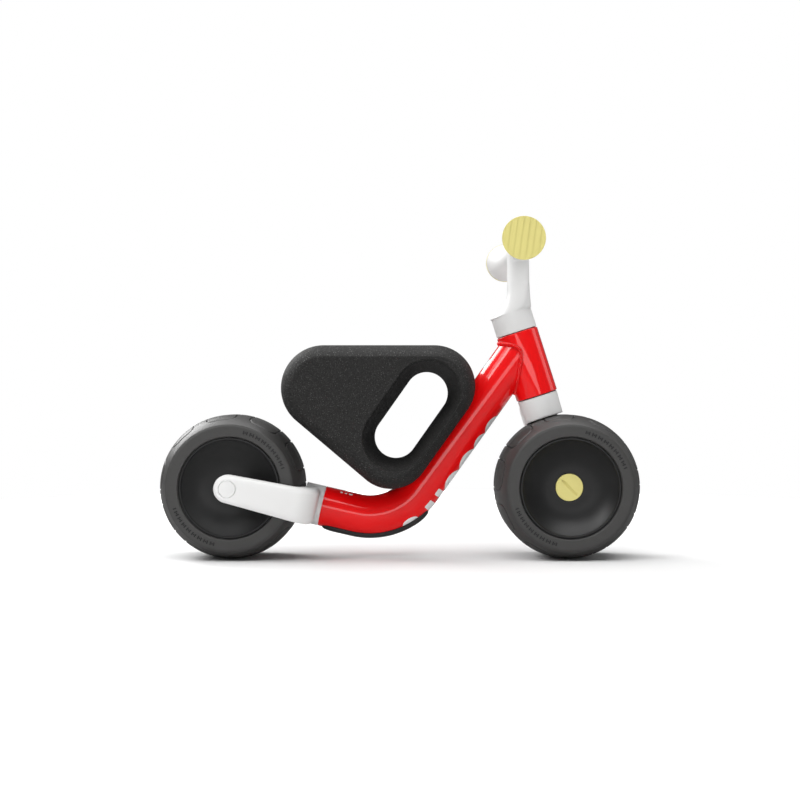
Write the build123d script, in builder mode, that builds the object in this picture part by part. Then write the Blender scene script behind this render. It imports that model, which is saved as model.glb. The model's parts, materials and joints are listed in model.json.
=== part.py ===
from build123d import *
import os
from math import acos, atan2, cos, degrees, pi, radians, sin

os.makedirs("parts", exist_ok=True)

# Toddler balance bike. Millimetres, +X forward, +Y to the rider's left, +Z up.
# The origin is on the floor, midway between the wheels.

# --- driving dimensions: layout
wheelbase = 373.3
wheel_radius = 80.0
head_angle = 17.7            # steering axis, leaning back from vertical
tube_fall = 13.0             # rear run of the main tube, falling forwards
tube_rise = 54.5             # front run of the main tube
tube_joint = 163.0           # from front axle up the steering axis to the tube's centre line
bend_radius = 70.0

# --- driving dimensions: frame
tube_radius = 22.5
tube_wall = 2.0
head_radius = 23.5
head_wall = 3.5
head_low = 106.6             # ends of the head tube, measured up the steering axis
head_high = 180.3
steering_limit = 45.0

# --- driving dimensions: wheels
tyre_width = 100.0
tread_shoulder = 48.0        # half width where the tread meets the sidewall
shoulder_radius = 70.5
tread_flat = 15.0            # half width of the flat running band
bead_radius = 57.0
barrel_radius = 54.9
barrel_wall = 2.9
barrel_half = 49.0
dish_lip = 53.0
dish_floor = 34.0            # distance of the dish floor from the wheel's middle
dish_floor_radius = 31.0
dish_wall = 3.0
bearing_radius = 11.0
bearing_width = 7.0
axle_radius = 4.0
cap_radius = 15.1
cap_thick = 2.1

# --- driving dimensions: single-sided arms
arm_inner = 53.0             # inner and outer faces of an arm, from the bike's middle
arm_outer = 67.0
arm_eye = 15.5               # half height round the axle
arm_flare = 2.6              # each edge opens by this angle towards the collar
arm_collar_low = 79.5
rear_collar = 101.8          # rear axle to the end of the collar
collar_radius_rear = 22.5
collar_radius_front = 22.8

# --- driving dimensions: steering
steerer_radius = 16.0
steerer_wall = 2.0
bush_length = 14.0
bush_flange = 0.8
stem_radius = 23.2
stem_collar = 19.6
post_half = 12.0             # half the post's length and width
post_wide = 12.6
post_x = 133.0
bar_height = 343.5
bar_half = 130.0
bar_sweep = 2.3              # each grip sweeps back by this angle
bar_radius = 6.0
sleeve_half = 22.0
sleeve_radius = 10.5
neck_radius = 9.6
rim_radius = 22.2
grip_cap_radius = 22.6
grip_cap_thick = 2.4
rib_pitch = 6.4
rib_tilt = 8.0
rib_depth = 0.8

# --- driving dimensions: seat and pad
seat_half = 65.0
seat_round = 16.0
seat_lobes = [(-83.5, 189.4, 47.0), (-9.8, 121.7, 42.9), (37.7, 191.6, 44.8)]
slot_middle = (12.7, 159.35)
slot_span = 60.35
slot_tilt = 54.8
slot_radius = 23.8
slot_flare = 12.0
slot_lip = 6.0
pad_thick = 3.5
pad_spread = 32.0            # half angle of the pad round the tube
pad_turn = 58.0              # how far the pad follows the bend
pad_start = 5.0              # gap between the rear collar and the pad
bolt_radius = 3.0
bolt_head = 5.4
head_depth = 0.9
head_sink = 0.7              # how far a head lies inside the tube's outer surface
nut_radius = 7.0
nut_length = 16.0

# --- clearances
running = 0.05               # shafts in bearings and bushes
end_play = 0.1
slip = 0.2                   # spigots in tubes
seat_gap = 0.3               # foam over tube
tyre_gap = 2.5               # arms round the tyre
seam = 0.02                  # pieces of one body that touch


# --- derived places
rear_axle = Vector(-wheelbase / 2, 0, wheel_radius)
front_axle = Vector(wheelbase / 2, 0, wheel_radius)
side = Vector(0, 1, 0)
head_up = Vector(-sin(radians(head_angle)), 0, cos(radians(head_angle)))
tube_back = Vector(cos(radians(tube_fall)), 0, -sin(radians(tube_fall)))
tube_front = Vector(cos(radians(tube_rise)), 0, sin(radians(tube_rise)))
head_plane = Plane(origin=front_axle, x_dir=side.cross(head_up), z_dir=head_up)
joint_point = front_axle + head_up * tube_joint
reach = joint_point - rear_axle
back_length = reach.cross(tube_front).Y / tube_back.cross(tube_front).Y
bend_corner = rear_axle + tube_back * back_length
tube_start = rear_axle + tube_back * rear_collar
turn = tube_fall + tube_rise
bend_reach = bend_radius * sin(radians(turn / 2)) / cos(radians(turn / 2))
bend_start = bend_corner - tube_back * bend_reach
bend_end = bend_corner + tube_front * bend_reach
bend_centre = bend_start + side.cross(tube_back) * -bend_radius


def flat(point):
    """A point of the bike's middle plane in that plane's own coordinates."""
    return (point.X, point.Z)


def save(piece, name):
    piece.part.label = name
    export_step(piece.part, f"parts/{name}.step")


def radial_plane(centre, outward):
    """Sketch plane through a wheel's axle: x runs along the axle, y is the radius."""
    return Plane(origin=centre, x_dir=outward, z_dir=outward.cross(Vector(0, 0, 1)))


def bend_normal(angle):
    """Outward direction from the bend's centre, at an angle from straight down."""
    return Vector(sin(radians(angle)), 0, -cos(radians(angle)))


# --- frame: main tube, coped to the head tube
seat_bolt_places = [
    (bend_centre + bend_normal(40) * bend_radius, bend_normal(40) * -1),
    (bend_end + tube_front * 118, side.cross(tube_front) * -1),
]
rear_screw_place = (tube_start + tube_back * 14, side.cross(tube_back) * -1)

with BuildPart() as main_tube:
    with BuildLine(Plane.XZ) as tube_path:
        FilletPolyline(flat(tube_start), flat(bend_corner), flat(joint_point), radius=bend_radius)
    with BuildSketch(Plane(origin=tube_start, z_dir=tube_back)):
        Circle(tube_radius)
        Circle(tube_radius - tube_wall, mode=Mode.SUBTRACT)
    sweep(path=tube_path.line)
    with BuildSketch(head_plane):
        Circle(head_radius + seam)
    extrude(amount=2 * tube_joint, mode=Mode.SUBTRACT)
    for place, inward in seat_bolt_places:
        with BuildSketch(Plane(origin=place, z_dir=inward)):
            Circle(bolt_radius + slip)
        extrude(amount=tube_radius + 2, both=True, mode=Mode.SUBTRACT)
        with BuildSketch(Plane(origin=place - inward * (tube_radius - head_sink - head_depth - seam), z_dir=inward)):
            Circle(bolt_head + slip)
        extrude(amount=-tube_radius, mode=Mode.SUBTRACT)
    with BuildSketch(Plane(origin=rear_screw_place[0], z_dir=rear_screw_place[1])):
        Circle(bolt_radius + slip)
    extrude(amount=-(tube_radius + 2), mode=Mode.SUBTRACT)
save(main_tube, "main_tube")

# --- frame: head tube, its bushes and the pin that limits the steering
stop_height = (head_low + head_high) / 2
stop_plane = Plane(origin=front_axle + head_up * stop_height, z_dir=head_plane.x_dir * -1)
stop_reach = steerer_radius - steerer_wall - 1.5
with BuildPart() as head_tube:
    with BuildSketch(head_plane.offset(head_low)):
        Circle(head_radius)
        Circle(head_radius - head_wall, mode=Mode.SUBTRACT)
    extrude(amount=head_high - head_low)
    chamfer(head_tube.edges().filter_by(GeomType.CIRCLE), 0.6)
    with BuildSketch(stop_plane):
        Circle(bolt_radius + seam)
    extrude(amount=head_radius + 1, mode=Mode.SUBTRACT)
save(head_tube, "head_tube")

with BuildPart() as steering_stop_pin:
    with BuildSketch(stop_plane.offset(stop_reach)):
        Circle(bolt_radius)
    extrude(amount=head_radius - 0.5 - stop_reach)
    chamfer(steering_stop_pin.edges().filter_by(GeomType.CIRCLE), 0.5)
save(steering_stop_pin, "steering_stop_pin")

for name, base, way in [("lower_headset_bush", head_low, 1), ("upper_headset_bush", head_high, -1)]:
    with BuildPart() as bush:
        with BuildSketch(head_plane.offset(base)):
            Circle(head_radius - head_wall - seam)
            Circle(steerer_radius + running, mode=Mode.SUBTRACT)
        extrude(amount=way * bush_length)
        with BuildSketch(head_plane.offset(base)):
            Circle(head_radius - 1.5)
            Circle(steerer_radius + running, mode=Mode.SUBTRACT)
        extrude(amount=-way * bush_flange)
    save(bush, name)

# --- steering: steerer tube, with a window that rides round the stop pin
arm_head = head_low - bush_flange - end_play
stem_low = head_high + bush_flange + end_play
steerer_low = arm_collar_low + 8.0
steerer_high = stem_low + stem_collar
screw_low = (arm_head + steerer_low) / 2
screw_high = (stem_low + steerer_high) / 2
window_margin = degrees(bolt_radius / (steerer_radius - steerer_wall)) + 1.5
with BuildPart() as steerer_tube:
    with BuildSketch(head_plane.offset(steerer_low)):
        Circle(steerer_radius)
        Circle(steerer_radius - steerer_wall, mode=Mode.SUBTRACT)
    extrude(amount=steerer_high - steerer_low)
    with BuildSketch(head_plane.offset(stop_height - bolt_radius - 0.5)):
        with BuildLine():
            window = steering_limit + window_margin
            window_out = 2 * steerer_radius
            start = (window_out * cos(radians(180 - window)), window_out * sin(radians(180 - window)))
            end = (start[0], -start[1])
            Polyline((0, 0), start, (-window_out * 1.5, 0), end, (0, 0))
        make_face()
    extrude(amount=2 * bolt_radius + 1, mode=Mode.SUBTRACT)
    for height in (screw_low, screw_high):
        with BuildSketch(Plane(origin=front_axle + head_up * height, z_dir=side)):
            Circle(bolt_radius - 0.5 + slip)
        extrude(amount=steerer_radius + 2, mode=Mode.SUBTRACT)
save(steerer_tube, "steerer_tube")


def make_arm(centre, along, outward, head, collar_top, collar_end):
    """Single-sided arm: a collar on the bike's middle, an elbow round the tyre, and the axle eye."""
    across = along.cross(outward)
    plan = Plane(origin=centre, x_dir=along, z_dir=across)
    profile = Plane(origin=centre, x_dir=along, z_dir=outward)
    front = head - 5.0
    elbow = 22.0
    flare = sin(radians(arm_flare)) / cos(radians(arm_flare))
    deep = arm_eye + flare * front
    with BuildPart() as arm:
        with BuildSketch(plan):
            with BuildLine():
                Line((front, 0), (front, arm_outer - elbow))
                CenterArc((front - elbow, arm_outer - elbow), elbow, 0, 90)
                Line((front - elbow, arm_outer), (-arm_eye - 2, arm_outer))
                Polyline((-arm_eye - 2, arm_outer), (-arm_eye - 2, arm_inner), (wheel_radius * 0.7, arm_inner))
                Polyline((wheel_radius * 0.7, arm_inner), (wheel_radius * 0.7, 0), (front, 0))
            make_face()
        extrude(amount=head, both=True)
        with BuildSketch(profile):
            with BuildLine():
                Line((0, arm_eye), (front + 1, deep))
                Line((front + 1, deep), (front + 1, -deep))
                Line((front + 1, -deep), (0, -arm_eye))
                ThreePointArc((0, -arm_eye), (-arm_eye, 0), (0, arm_eye))
            make_face()
        extrude(amount=2 * arm_outer, both=True, mode=Mode.INTERSECT)
        outline = [
            edge
            for edge in arm.edges()
            if (edge.center() - centre).dot(outward) > arm_inner + 4
            or (edge.center() - centre).dot(along) > front - 0.5
        ]
        outline = [edge for edge in outline if abs((edge @ 1 - edge @ 0).dot(across)) < 0.8 * edge.length]
        outline = [
            edge
            for edge in outline
            if not (
                abs((edge.center() - centre).dot(along) - front) < 0.5
                and abs((edge.center() - centre).dot(outward)) < 0.5
            )
        ]
        fillet(outline, 6.0)
        with BuildSketch(Plane(origin=centre, x_dir=across, z_dir=along).offset(arm_collar_low)):
            Circle(collar_end)
        with BuildSketch(Plane(origin=centre, x_dir=across, z_dir=along).offset(head)):
            Circle(collar_top)
        loft()
        with BuildSketch(radial_plane(centre, outward)):
            with BuildLine():
                Line((-arm_inner, 0), (-arm_inner, shoulder_radius + tyre_gap))
                ThreePointArc(
                    (-arm_inner, shoulder_radius + tyre_gap),
                    (0, wheel_radius + tyre_gap),
                    (arm_inner, shoulder_radius + tyre_gap),
                )
                Polyline((arm_inner, shoulder_radius + tyre_gap), (arm_inner, 0), (-arm_inner, 0))
            make_face()
        revolve(axis=Axis(centre, outward), mode=Mode.SUBTRACT)
        with BuildSketch(radial_plane(centre, outward)):
            with BuildLine():
                tip = dish_floor - 0.4
                Polyline(
                    (tip, 0), (tip, 6.4), (tip + 3, 6.4), (tip + 10, 12), (arm_inner, 13.5),
                    (arm_inner + 3, 13.5), (arm_inner + 3, 0), (tip, 0),
                )
            make_face()
        revolve(axis=Axis(centre, outward))
        with BuildSketch(profile):
            Circle(axle_radius + slip)
        extrude(amount=arm_outer + 1, mode=Mode.SUBTRACT)
        with BuildSketch(profile.offset(arm_outer - 9)):
            Circle(9.0)
        extrude(amount=10, mode=Mode.SUBTRACT)
    return arm.part


# --- steering: front arm, screwed to the steerer
with BuildPart() as front_arm:
    add(make_arm(front_axle, head_up, side, arm_head, collar_radius_front, collar_radius_front - 0.9))
    with BuildSketch(head_plane.offset(steerer_low - end_play)):
        Circle(steerer_radius + seam)
    extrude(amount=arm_head - steerer_low + 1, mode=Mode.SUBTRACT)
    with BuildSketch(Plane(origin=front_axle + head_up * screw_low, z_dir=side)):
        Circle(bolt_radius - 0.5 + slip)
    extrude(amount=2 * steerer_radius, mode=Mode.SUBTRACT)
save(front_arm, "front_arm")

# --- frame: rear arm, with a spigot inside the main tube
spigot = tube_radius - tube_wall - slip
with BuildPart() as rear_arm:
    add(make_arm(rear_axle, tube_back, side * -1, rear_collar - seam, collar_radius_rear, collar_radius_rear))
    with BuildSketch(Plane(origin=rear_axle, z_dir=tube_back).offset(rear_collar - 1)):
        Circle(spigot)
    extrude(amount=30)
    with BuildSketch(Plane(origin=rear_axle, z_dir=tube_back).offset(rear_collar)):
        Circle(spigot - 5)
    extrude(amount=30, mode=Mode.SUBTRACT)
    with BuildSketch(Plane(origin=rear_screw_place[0], z_dir=rear_screw_place[1])):
        Circle(bolt_radius + slip)
    extrude(amount=-(tube_radius + 2), mode=Mode.SUBTRACT)
save(rear_arm, "rear_arm")


# --- small fasteners of the frame and the steering
def make_bolt(place, inward, head_reach, length, radius, head, head_height):
    """Flat-headed bolt: its head's face lies head_reach outside the place, its shank runs inward."""
    face = Plane(origin=place - inward * head_reach, z_dir=inward)
    with BuildPart() as bolt:
        with BuildSketch(face):
            Circle(head)
        extrude(amount=head_height)
        with BuildSketch(face.offset(head_height)):
            Circle(radius)
        extrude(amount=length)
        with BuildSketch(face):
            RegularPolygon(radius * 0.75, 6)
        extrude(amount=head_height * 0.7, mode=Mode.SUBTRACT)
    return bolt.part


seat_bolt_length = 2 * tube_radius + nut_length - head_depth
with BuildPart() as seat_bolts:
    for place, inward in seat_bolt_places:
        add(make_bolt(place, inward, tube_radius - head_sink, seat_bolt_length, bolt_radius, bolt_head, head_depth))
save(seat_bolts, "seat_bolts")

with BuildPart() as seat_nuts:
    for place, inward in seat_bolt_places:
        with BuildSketch(Plane(origin=place + inward * (tube_radius + 0.6), z_dir=inward)):
            Circle(nut_radius)
            Circle(bolt_radius + seam, mode=Mode.SUBTRACT)
        extrude(amount=nut_length)
save(seat_nuts, "seat_nuts")

with BuildPart() as rear_arm_screw:
    add(make_bolt(
        rear_screw_place[0], rear_screw_place[1], tube_radius - 0.3, 9.0, bolt_radius, bolt_radius + 0.1, 1.0
    ))
save(rear_arm_screw, "rear_arm_screw")

for name, height in [("front_arm_screw", screw_low), ("stem_screw", screw_high)]:
    with BuildPart() as screw:
        add(make_bolt(
            front_axle + head_up * height, side * -1, stem_radius - 1.5, 9.5,
            bolt_radius - 0.5, bolt_radius - 0.4, 1.0,
        ))
    save(screw, name)

# --- steering: stem, a round collar that sweeps up into an upright post with a cross sleeve
sweep_radius = 24.0
post_back = post_x - post_half
post_front = post_x + post_half
collar_front = head_plane.x_dir * stem_radius + front_axle
sweep_centre = Vector(post_back - sweep_radius, 0, 293.5)
post_low = 296.0
handle_centre = Vector(post_x, 0, bar_height)


def stem_section(angle):
    """Plane, length and width of the stem where the rear sweep has turned to this angle."""
    rear = sweep_centre + Vector(cos(radians(angle)), 0, sin(radians(angle))) * sweep_radius
    share = -angle / sweep_steep
    forward = head_plane.x_dir
    gap = collar_front - rear
    along_collar = gap.cross(head_up).Y / forward.cross(head_up).Y
    along_post = (post_front - rear.X) / forward.X
    length = max(along_collar, along_post)
    width = 2 * post_wide + 2 * (stem_radius - post_wide) * share**1.2
    middle = rear + forward * (length / 2)
    return Plane(origin=middle, x_dir=side, z_dir=forward.cross(side)), length, width


def grip_direction(way):
    """Direction of a grip, swept back from straight sideways."""
    return Vector(-sin(radians(bar_sweep)), way * cos(radians(bar_sweep)), 0)


sweep_steep = 66.0
sweep_steps = 6
with BuildPart() as handlebar_stem:
    with BuildSketch(head_plane.offset(stem_low)):
        Circle(stem_radius)
    extrude(amount=stem_collar)
    with BuildSketch(Plane(origin=front_axle + head_up * (stem_low + stem_collar - 1), x_dir=side, z_dir=head_up)):
        Ellipse(stem_radius - 0.1, stem_radius - 0.2)
    for step in range(sweep_steps + 1):
        section, length, width = stem_section(-sweep_steep * (1 - step / sweep_steps))
        with BuildSketch(section):
            Ellipse(width / 2, length / 2)
    with BuildSketch(Plane(origin=handle_centre, x_dir=side, z_dir=(0, 0, 1))):
        Ellipse(post_wide, post_half)
    loft(ruled=True)
    with BuildSketch(Plane(origin=handle_centre, z_dir=side)):
        Circle(post_half + 0.5)
    extrude(amount=sleeve_half / 2, both=True)
    with BuildSketch(Plane(origin=handle_centre, z_dir=side)):
        Circle(sleeve_radius)
    extrude(amount=sleeve_half, both=True)
    for way in (1, -1):
        with BuildSketch(Plane(origin=handle_centre, z_dir=grip_direction(way))):
            Circle(bar_radius + seam)
        extrude(amount=sleeve_half + 1, mode=Mode.SUBTRACT)
    with BuildSketch(head_plane.offset(stem_low - 1)):
        Circle(steerer_radius + seam)
    extrude(amount=stem_collar + 1 + end_play, mode=Mode.SUBTRACT)
    with BuildSketch(Plane(origin=front_axle + head_up * screw_high, z_dir=side)):
        Circle(bolt_radius - 0.5 + slip)
    extrude(amount=2 * steerer_radius, mode=Mode.SUBTRACT)
save(handlebar_stem, "handlebar_stem")

# --- steering: handlebar core, grips and their ribbed end caps
core_half = bar_half - 18.0
socket_radius = rim_radius - 2.6
socket_deep = 7.0
for name, way in [("left", 1), ("right", -1)]:
    sweep_back = radians(bar_sweep)
    outward = grip_direction(way)
    lean_plane = Plane(origin=handle_centre, x_dir=outward, z_dir=Vector(0, 0, 1).cross(outward) * -1)
    cap_face = (bar_half - rim_radius * sin(sweep_back)) / cos(sweep_back)
    rim = cap_face - grip_cap_thick
    inner_end = sleeve_half + 0.8
    core_end = rim - socket_deep - 6
    with BuildPart() as bar_core:
        with BuildSketch(Plane(origin=handle_centre + outward * 1.0, z_dir=outward)):
            Circle(bar_radius)
            Circle(bar_radius - 1.5, mode=Mode.SUBTRACT)
        extrude(amount=core_end - 1)
    save(bar_core, f"handlebar_core_{name}")
    with BuildPart() as grip:
        with BuildSketch(lean_plane):
            with BuildLine():
                Line((inner_end, bar_radius + seam), (inner_end, neck_radius))
                Spline(
                    (inner_end, neck_radius),
                    (inner_end + 0.42 * (rim - inner_end), neck_radius + 0.4),
                    (inner_end + 0.78 * (rim - inner_end), neck_radius + 0.33 * (rim_radius - neck_radius)),
                    (rim, rim_radius),
                    tangents=[(1, 0), (0.45, 0.9)],
                )
                Polyline((rim, rim_radius), (rim, socket_radius), (rim - socket_deep, socket_radius - 5))
                Polyline(
                    (rim - socket_deep, socket_radius - 5), (rim - socket_deep, bar_radius + seam),
                    (inner_end, bar_radius + seam),
                )
            make_face()
        revolve(axis=Axis(handle_centre, outward))
    save(grip, f"grip_{name}")
    with BuildPart() as grip_cap:
        with BuildSketch(Plane(origin=handle_centre + outward * (rim + seam), z_dir=outward)):
            Circle(grip_cap_radius)
        extrude(amount=grip_cap_thick - seam)
        with BuildSketch(Plane(origin=handle_centre + outward * (rim + seam), z_dir=outward)):
            Circle(socket_radius - 2.5 - slip)
            Circle(socket_radius - 5.5, mode=Mode.SUBTRACT)
        extrude(amount=-3.0)
        tilt = Vector(sin(radians(rib_tilt)), 0, cos(radians(rib_tilt)))
        across_ribs = tilt.cross(outward).normalized()
        ribs = Plane(origin=handle_centre + outward * cap_face, x_dir=across_ribs, z_dir=outward.cross(across_ribs) * -1)
        for number in range(-3, 4):
            at = number * rib_pitch
            with BuildSketch(ribs):
                with BuildLine():
                    Polyline((at, 0.01), (at, -rib_depth), (at + 0.9 * rib_pitch, 0.01), (at, 0.01))
                make_face()
            extrude(amount=2 * grip_cap_radius, both=True, mode=Mode.SUBTRACT)
    save(grip_cap, f"grip_cap_{name}")


# --- wheels
def make_wheel(name, centre, outward):
    """One wheel; outward points to the side of its arm."""
    plane = radial_plane(centre, outward)
    spin = Axis(centre, outward)
    with BuildPart() as tyre:
        with BuildSketch(plane):
            with BuildLine():
                half = tyre_width / 2
                Line((-tread_flat, wheel_radius), (tread_flat, wheel_radius))
                Spline(
                    (tread_flat, wheel_radius), (tread_shoulder, shoulder_radius),
                    tangents=[(1, 0), (0.7, -0.5)],
                )
                Line((tread_shoulder, shoulder_radius), (half, shoulder_radius - 2))
                Polyline(
                    (half, shoulder_radius - 2), (half, bead_radius), (barrel_half - 1, bead_radius),
                    (barrel_half - 3, barrel_radius + seam), (-barrel_half + 3, barrel_radius + seam),
                    (-barrel_half + 1, bead_radius), (-half, bead_radius), (-half, shoulder_radius - 2),
                )
                Line((-half, shoulder_radius - 2), (-tread_shoulder, shoulder_radius))
                Spline(
                    (-tread_shoulder, shoulder_radius), (-tread_flat, wheel_radius),
                    tangents=[(0.7, 0.5), (1, 0)],
                )
            make_face()
        revolve(axis=spin)
    save(tyre, f"{name}_tyre")

    arm_bearing = dish_floor - 0.5 - bearing_width
    cap_ledge = dish_floor - 0.3 - cap_thick - end_play
    open_bearing = dish_floor - 9.6 - bearing_width
    halves = [
        ("arm_side", 1, arm_bearing, bearing_radius + 1, dish_floor - 0.4, 0.5),
        ("open_side", -1, open_bearing, cap_radius + 0.3, cap_ledge, 0.0),
    ]
    for half_name, way, seat, mouth, ledge, chamfered in halves:
        with BuildPart() as hub:
            with BuildSketch(Plane(origin=centre, x_dir=outward * way, z_dir=plane.z_dir * way)):
                with BuildLine():
                    inner = barrel_radius - barrel_wall
                    boss = cap_radius + 3.4
                    lip_wall = inner - 1.0
                    Polyline((seam, inner), (seam, barrel_radius), (barrel_half, barrel_radius), (barrel_half, dish_lip))
                    ThreePointArc(
                        (barrel_half, dish_lip), (dish_floor + 4.5, (dish_lip + dish_floor_radius) / 2),
                        (dish_floor, dish_floor_radius),
                    )
                    Polyline(
                        (dish_floor, dish_floor_radius), (dish_floor, mouth), (ledge, mouth - chamfered),
                        (ledge, bearing_radius), (seat - seam, bearing_radius), (seat - seam, 8.5),
                        (seat - 2.5, 8.5), (seat - 2.5, boss), (dish_floor - dish_wall, boss),
                        (dish_floor - dish_wall, dish_floor_radius),
                    )
                    ThreePointArc(
                        (dish_floor - dish_wall, dish_floor_radius),
                        (dish_floor + 4.5 - dish_wall, (lip_wall + dish_floor_radius) / 2),
                        (barrel_half - dish_wall, lip_wall),
                    )
                    Polyline((barrel_half - dish_wall, lip_wall), (barrel_half - dish_wall, inner), (seam, inner))
                make_face()
            revolve(axis=spin)
        save(hub, f"{name}_hub_{half_name}")
        with BuildPart() as bearing:
            with BuildSketch(Plane(origin=centre, x_dir=outward * way, z_dir=plane.z_dir * way)):
                with BuildLine():
                    near, far = seat, seat + bearing_width
                    shield = 0.5
                    lands = (axle_radius + 2, bearing_radius - 2)
                    Polyline(
                        (near, axle_radius + running), (near, lands[0]), (near + shield, lands[0]),
                        (near + shield, lands[1]), (near, lands[1]), (near, bearing_radius - seam),
                        (far, bearing_radius - seam), (far, lands[1]), (far - shield, lands[1]),
                        (far - shield, lands[0]), (far, lands[0]), (far, axle_radius + running),
                        (near, axle_radius + running),
                    )
                make_face()
            revolve(axis=spin)
        save(bearing, f"{name}_bearing_{half_name}")

    with BuildPart() as spacer:
        with BuildSketch(Plane(origin=centre, z_dir=outward).offset(-open_bearing + end_play)):
            Circle(axle_radius + 2)
            Circle(axle_radius + running, mode=Mode.SUBTRACT)
        extrude(amount=open_bearing + arm_bearing - 2 * end_play)
    save(spacer, f"{name}_axle_spacer")

    bolt_face = -(open_bearing + bearing_width + end_play)
    with BuildPart() as axle:
        with BuildSketch(Plane(origin=centre, z_dir=outward).offset(bolt_face)):
            Circle(axle_radius)
        extrude(amount=arm_outer - 2.5 - bolt_face)
        with BuildSketch(Plane(origin=centre, z_dir=outward).offset(bolt_face)):
            Circle(axle_radius + 2.5)
        extrude(amount=-5.0)
        with BuildSketch(Plane(origin=centre, z_dir=outward).offset(bolt_face - 5)):
            RegularPolygon(3.0, 6)
        extrude(amount=3.0, mode=Mode.SUBTRACT)
    save(axle, f"{name}_axle_bolt")

    with BuildPart() as nut:
        with BuildSketch(Plane(origin=centre, z_dir=outward).offset(arm_outer - 9 + seam)):
            RegularPolygon(7.4, 6)
            Circle(axle_radius + seam, mode=Mode.SUBTRACT)
        extrude(amount=5.5)
    save(nut, f"{name}_axle_nut")

    with BuildPart() as cover:
        with BuildSketch(Plane(origin=centre, z_dir=outward).offset(arm_outer - 1.6)):
            Circle(9.0 - seam)
        extrude(amount=1.6)
        chamfer(cover.edges().sort_by(Axis(centre, outward))[-1], 0.5)
    save(cover, f"{name}_nut_cover")

    with BuildPart() as cap:
        face = Plane(origin=centre, z_dir=outward * -1).offset(cap_ledge + end_play / 2)
        with BuildSketch(face):
            Circle(cap_radius)
        extrude(amount=cap_thick)
        fillet(cap.edges().sort_by(Axis(centre, outward * -1))[-1], 0.5)
        with BuildSketch(face):
            Circle(bearing_radius - 0.1)
            Circle(bearing_radius - 1.6, mode=Mode.SUBTRACT)
        extrude(amount=-2.5)
        with BuildSketch(Plane(face.offset(cap_thick).origin, x_dir=(1, 0, 0), z_dir=outward * -1)):
            SlotOverall(1.5 * cap_radius, 2.4, rotation=outward.Y * -45)
        extrude(amount=-1.0, mode=Mode.SUBTRACT)
    save(cap, f"{name}_hub_cap")


make_wheel("front", front_axle, side)
make_wheel("rear", rear_axle, side * -1)


# --- seat: a foam block on the tube, with a carry slot
def seat_outline(lobes):
    """Lines and arcs round the lobes, given anticlockwise."""
    count = len(lobes)
    starts = []
    for number in range(count):
        x1, z1, r1 = lobes[number]
        x2, z2, r2 = lobes[(number + 1) % count]
        span = ((x2 - x1) ** 2 + (z2 - z1) ** 2) ** 0.5
        starts.append(atan2(z2 - z1, x2 - x1) - acos((r1 - r2) / span))
    for number in range(count):
        x1, z1, r1 = lobes[number]
        x2, z2, r2 = lobes[(number + 1) % count]
        out = starts[number]
        Line(
            (x1 + r1 * cos(out), z1 + r1 * sin(out)),
            (x2 + r2 * cos(out), z2 + r2 * sin(out)),
        )
        into = starts[number - 1]
        arc = (out - into) % (2 * pi)
        CenterArc((x1, z1), r1, degrees(into), degrees(arc))


with BuildPart() as seat_foam:
    with BuildSketch(Plane.XZ):
        with BuildLine():
            seat_outline(seat_lobes)
        make_face()
    extrude(amount=seat_half, both=True)
    fillet(
        seat_foam.faces().sort_by(Axis.Y)[0].edges() + seat_foam.faces().sort_by(Axis.Y)[-1].edges(),
        seat_round,
    )
    with BuildSketch(Plane.XZ):
        with Locations(slot_middle):
            SlotCenterToCenter(slot_span, 2 * slot_radius, rotation=slot_tilt)
    extrude(amount=seat_half + 1, both=True, mode=Mode.SUBTRACT)
    for way in (1, -1):
        for depth, flare in ((slot_lip, 0.0), (seat_half, slot_flare)):
            with BuildSketch(Plane.XZ.offset(way * depth)):
                with Locations(slot_middle):
                    SlotCenterToCenter(slot_span, 2 * (slot_radius + flare), rotation=slot_tilt)
        loft(mode=Mode.SUBTRACT)
    with BuildLine(Plane.XZ) as seat_path:
        FilletPolyline(flat(tube_start), flat(bend_corner), flat(joint_point), radius=bend_radius)
    with BuildSketch(Plane(origin=tube_start, z_dir=tube_back)):
        Circle(tube_radius + seat_gap)
    sweep(path=seat_path.line, mode=Mode.SUBTRACT)
    for place, inward in seat_bolt_places:
        with BuildSketch(Plane(origin=place + inward * (tube_radius - 2), z_dir=inward)):
            Circle(nut_radius + seat_gap)
        extrude(amount=nut_length + 3 + seat_gap, mode=Mode.SUBTRACT)
save(seat_foam, "seat_foam")

# --- skid pad under the bend
pad_from = tube_start + tube_back * pad_start
pad_inner = tube_radius + seam
with BuildPart() as skid_pad:
    with BuildLine(Plane.XZ) as pad_path:
        Line(flat(pad_from), flat(bend_start))
        CenterArc(flat(bend_centre), bend_radius, -90 - tube_fall, pad_turn)
    with BuildSketch(Plane(origin=pad_from, x_dir=side, z_dir=tube_back)):
        with BuildLine():
            Line((pad_inner, 0), (pad_inner + pad_thick, 0))
            CenterArc((0, 0), pad_inner + pad_thick, 0, 2 * pad_spread)
            CenterArc((0, 0), pad_inner, 0, 2 * pad_spread)
            Line(
                (pad_inner * cos(radians(2 * pad_spread)), pad_inner * sin(radians(2 * pad_spread))),
                (
                    (pad_inner + pad_thick) * cos(radians(2 * pad_spread)),
                    (pad_inner + pad_thick) * sin(radians(2 * pad_spread)),
                ),
            )
        pad_face = make_face(mode=Mode.PRIVATE)
        add(pad_face.rotate(Axis.Z, -90 - pad_spread))
    sweep(path=pad_path.line)
save(skid_pad, "skid_pad")
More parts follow.
